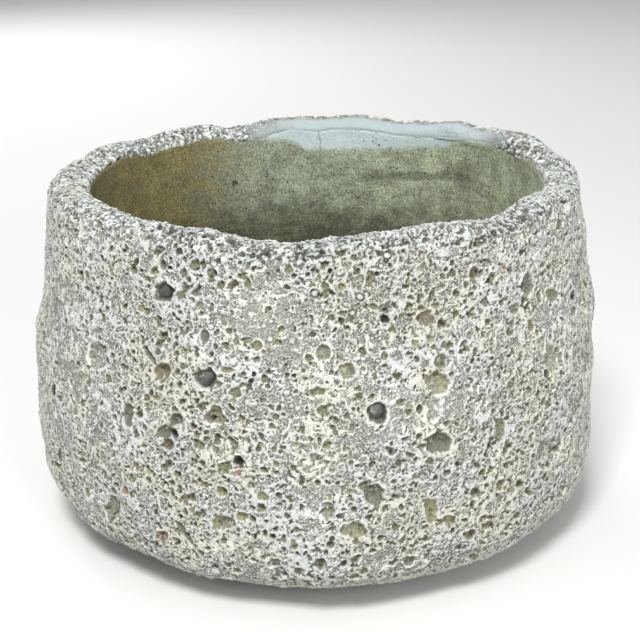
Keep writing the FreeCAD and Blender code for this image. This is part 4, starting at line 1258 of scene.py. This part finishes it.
# Colour, worn colour, roughness and share of metal
plainFinishes = {
    "sleevePlastic": ((0.085, 0.085, 0.08, 1), (0.16, 0.155, 0.14, 1), 0.55, 0.0),
    "cageWire": ((0.30, 0.28, 0.25, 1), (0.22, 0.10, 0.045, 1), 0.45, 0.85),
    "tieWire": ((0.16, 0.15, 0.14, 1), (0.18, 0.09, 0.05, 1), 0.5, 0.85),
    "darkStone": ((0.055, 0.056, 0.05, 1), (0.42, 0.42, 0.36, 1), 0.75, 0.0),
}
# Wear, the same for all of them
wearForm = {
    "cement": {"Grain_Size": 2.0, "Pinhole_Size": 3.0, "Pinhole_Share": 0.1},
    "cloudSpan": (0.45, 0.65), "roughGain": 0.3, "bump": (0.3, 0.0002),
}


def makePlain(name):
    material, tree, shader = newMaterial(name)
    base, worn, roughness, metallic = plainFinishes[name]
    cement = placeGroup(tree, cementGrain, **wearForm["cement"])
    cloud = spread(tree, cement.outputs["Cloud"], *wearForm["cloudSpan"])
    wear = calculate(tree, "MULTIPLY", cloud, cement.outputs["Grain"])
    tree.links.new(mixColours(tree, wear, base, worn), shader.inputs["Base Color"])
    shader.inputs["Metallic"].default_value = metallic
    rough = calculate(tree, "MULTIPLY_ADD", wear, wearForm["roughGain"], roughness)
    tree.links.new(rough, shader.inputs["Roughness"])
    addBump(tree, shader, cement.outputs["Height"], *wearForm["bump"])
    return material


def dress(piece, material):
    piece.data.materials.clear()
    piece.data.materials.append(material)


facingMaterial = makeFacing()
for piece in facingPieces:
    dress(piece, facingMaterial)
dress(liningPiece, makeLining())
stoneMaterial = makePlain("darkStone")
for pebble in stonePieces:
    dress(pebble, stoneMaterial)
nodeFinishes = {
    "backing_coat": makeConcrete("backingConcrete"),
    "floor_slab": makeConcrete("slabConcrete"),
    "drain_sleeve": makePlain("sleevePlastic"),
}
wireMaterial, tieMaterial = makePlain("cageWire"), makePlain("tieWire")
for name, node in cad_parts.items():
    if name.startswith(("hoop", "upright")):
        nodeFinishes[name] = wireMaterial
    if name == "wire_ties":
        nodeFinishes[name] = tieMaterial
    if name in nodeFinishes:
        dress(node, nodeFinishes[name])
print("finishes", len(bpy.data.materials))

studio = {
    "floorSize": 12.0, "floorHeight": -0.0001, "floorRoughness": 0.9,
    "floorColour": (0.74, 0.74, 0.73, 1), "bounceColour": (0.57, 0.57, 0.56, 1),
    "skyColour": (1, 1, 1, 1), "skyLevel": 0.53,
    "lampAim": (0, 0, 0.12),
    "lamps": (
        # name, place, size, power in watts
        ("lampAbove", (-0.25, -1.25, 1.70), 0.45, 39.0),
        ("lampFront", (1.2, -1.8, 0.9), 1.2, 18.5),
        ("lampBehind", (-0.9, 2.1, 1.3), 1.4, 24.0),
    ),
}
floorMesh = bmesh.new()
bmesh.ops.create_grid(floorMesh, x_segments=1, y_segments=1, size=studio["floorSize"] / 2)
mesh = bpy.data.meshes.new("studioFloor")
floorMesh.to_mesh(mesh)
floorMesh.free()
floor = bpy.data.objects.new("studioFloor", mesh)
floor.location.z = studio["floorHeight"]
bpy.context.collection.objects.link(floor)
floorMaterial, floorTree, floorShader = newMaterial("studioFloorPaint")
# The camera sees a paler floor than the one that throws light back up
sight = addNode(floorTree, "ShaderNodeLightPath").outputs["Is Camera Ray"]
floorColour = mixColours(floorTree, sight, studio["bounceColour"], studio["floorColour"])
floorTree.links.new(floorColour, floorShader.inputs["Base Color"])
floorShader.inputs["Roughness"].default_value = studio["floorRoughness"]
# Seen from below the floor is clear, so that the foot can be looked at
below = addNode(floorTree, "ShaderNodeNewGeometry").outputs["Backfacing"]
clear = addNode(floorTree, "ShaderNodeBsdfTransparent")
either = addNode(floorTree, "ShaderNodeMixShader")
for source, socket in ((below, 0), (floorShader.outputs[0], 1), (clear.outputs[0], 2)):
    floorTree.links.new(source, either.inputs[socket])
floorOutput = [node for node in floorTree.nodes if node.type == "OUTPUT_MATERIAL"][0]
floorTree.links.new(either.outputs[0], floorOutput.inputs["Surface"])
dress(floor, floorMaterial)

world = bpy.data.worlds.new("studioSky")
world.use_nodes = True
sky = world.node_tree.nodes["Background"]
sky.inputs["Color"].default_value = studio["skyColour"]
sky.inputs["Strength"].default_value = studio["skyLevel"]
bpy.context.scene.world = world

for name, place, size, power in studio["lamps"]:
    light = bpy.data.lights.new(name, "AREA")
    light.size = size
    light.energy = power
    lamp = bpy.data.objects.new(name, light)
    lamp.location = place
    aim = np.array(studio["lampAim"]) - np.array(place)
    lift = math.acos(-aim[2] / np.linalg.norm(aim))
    lamp.rotation_euler = (lift, 0, math.atan2(aim[1], aim[0]) - math.pi / 2)
    bpy.context.collection.objects.link(lamp)

cameraData = bpy.data.cameras.new("photoCamera")
cameraData.sensor_width = photoView["sensor"]
cameraData.lens = photoView["sensor"] * photoView["focal"] / photoView["frameWidth"]
cameraData.shift_x = (photoView["middle"] - photoView["axisX"]) / photoView["frameWidth"]
camera = bpy.data.objects.new("photoCamera", cameraData)
camera.location = (0, -photoView["distance"] / 1000, photoView["height"] / 1000)
camera.rotation_euler = (math.radians(90 - photoView["pitch"]), 0, 0)
bpy.context.collection.objects.link(camera)
bpy.context.scene.camera = camera
bpy.context.scene.view_settings.view_transform = "Standard"
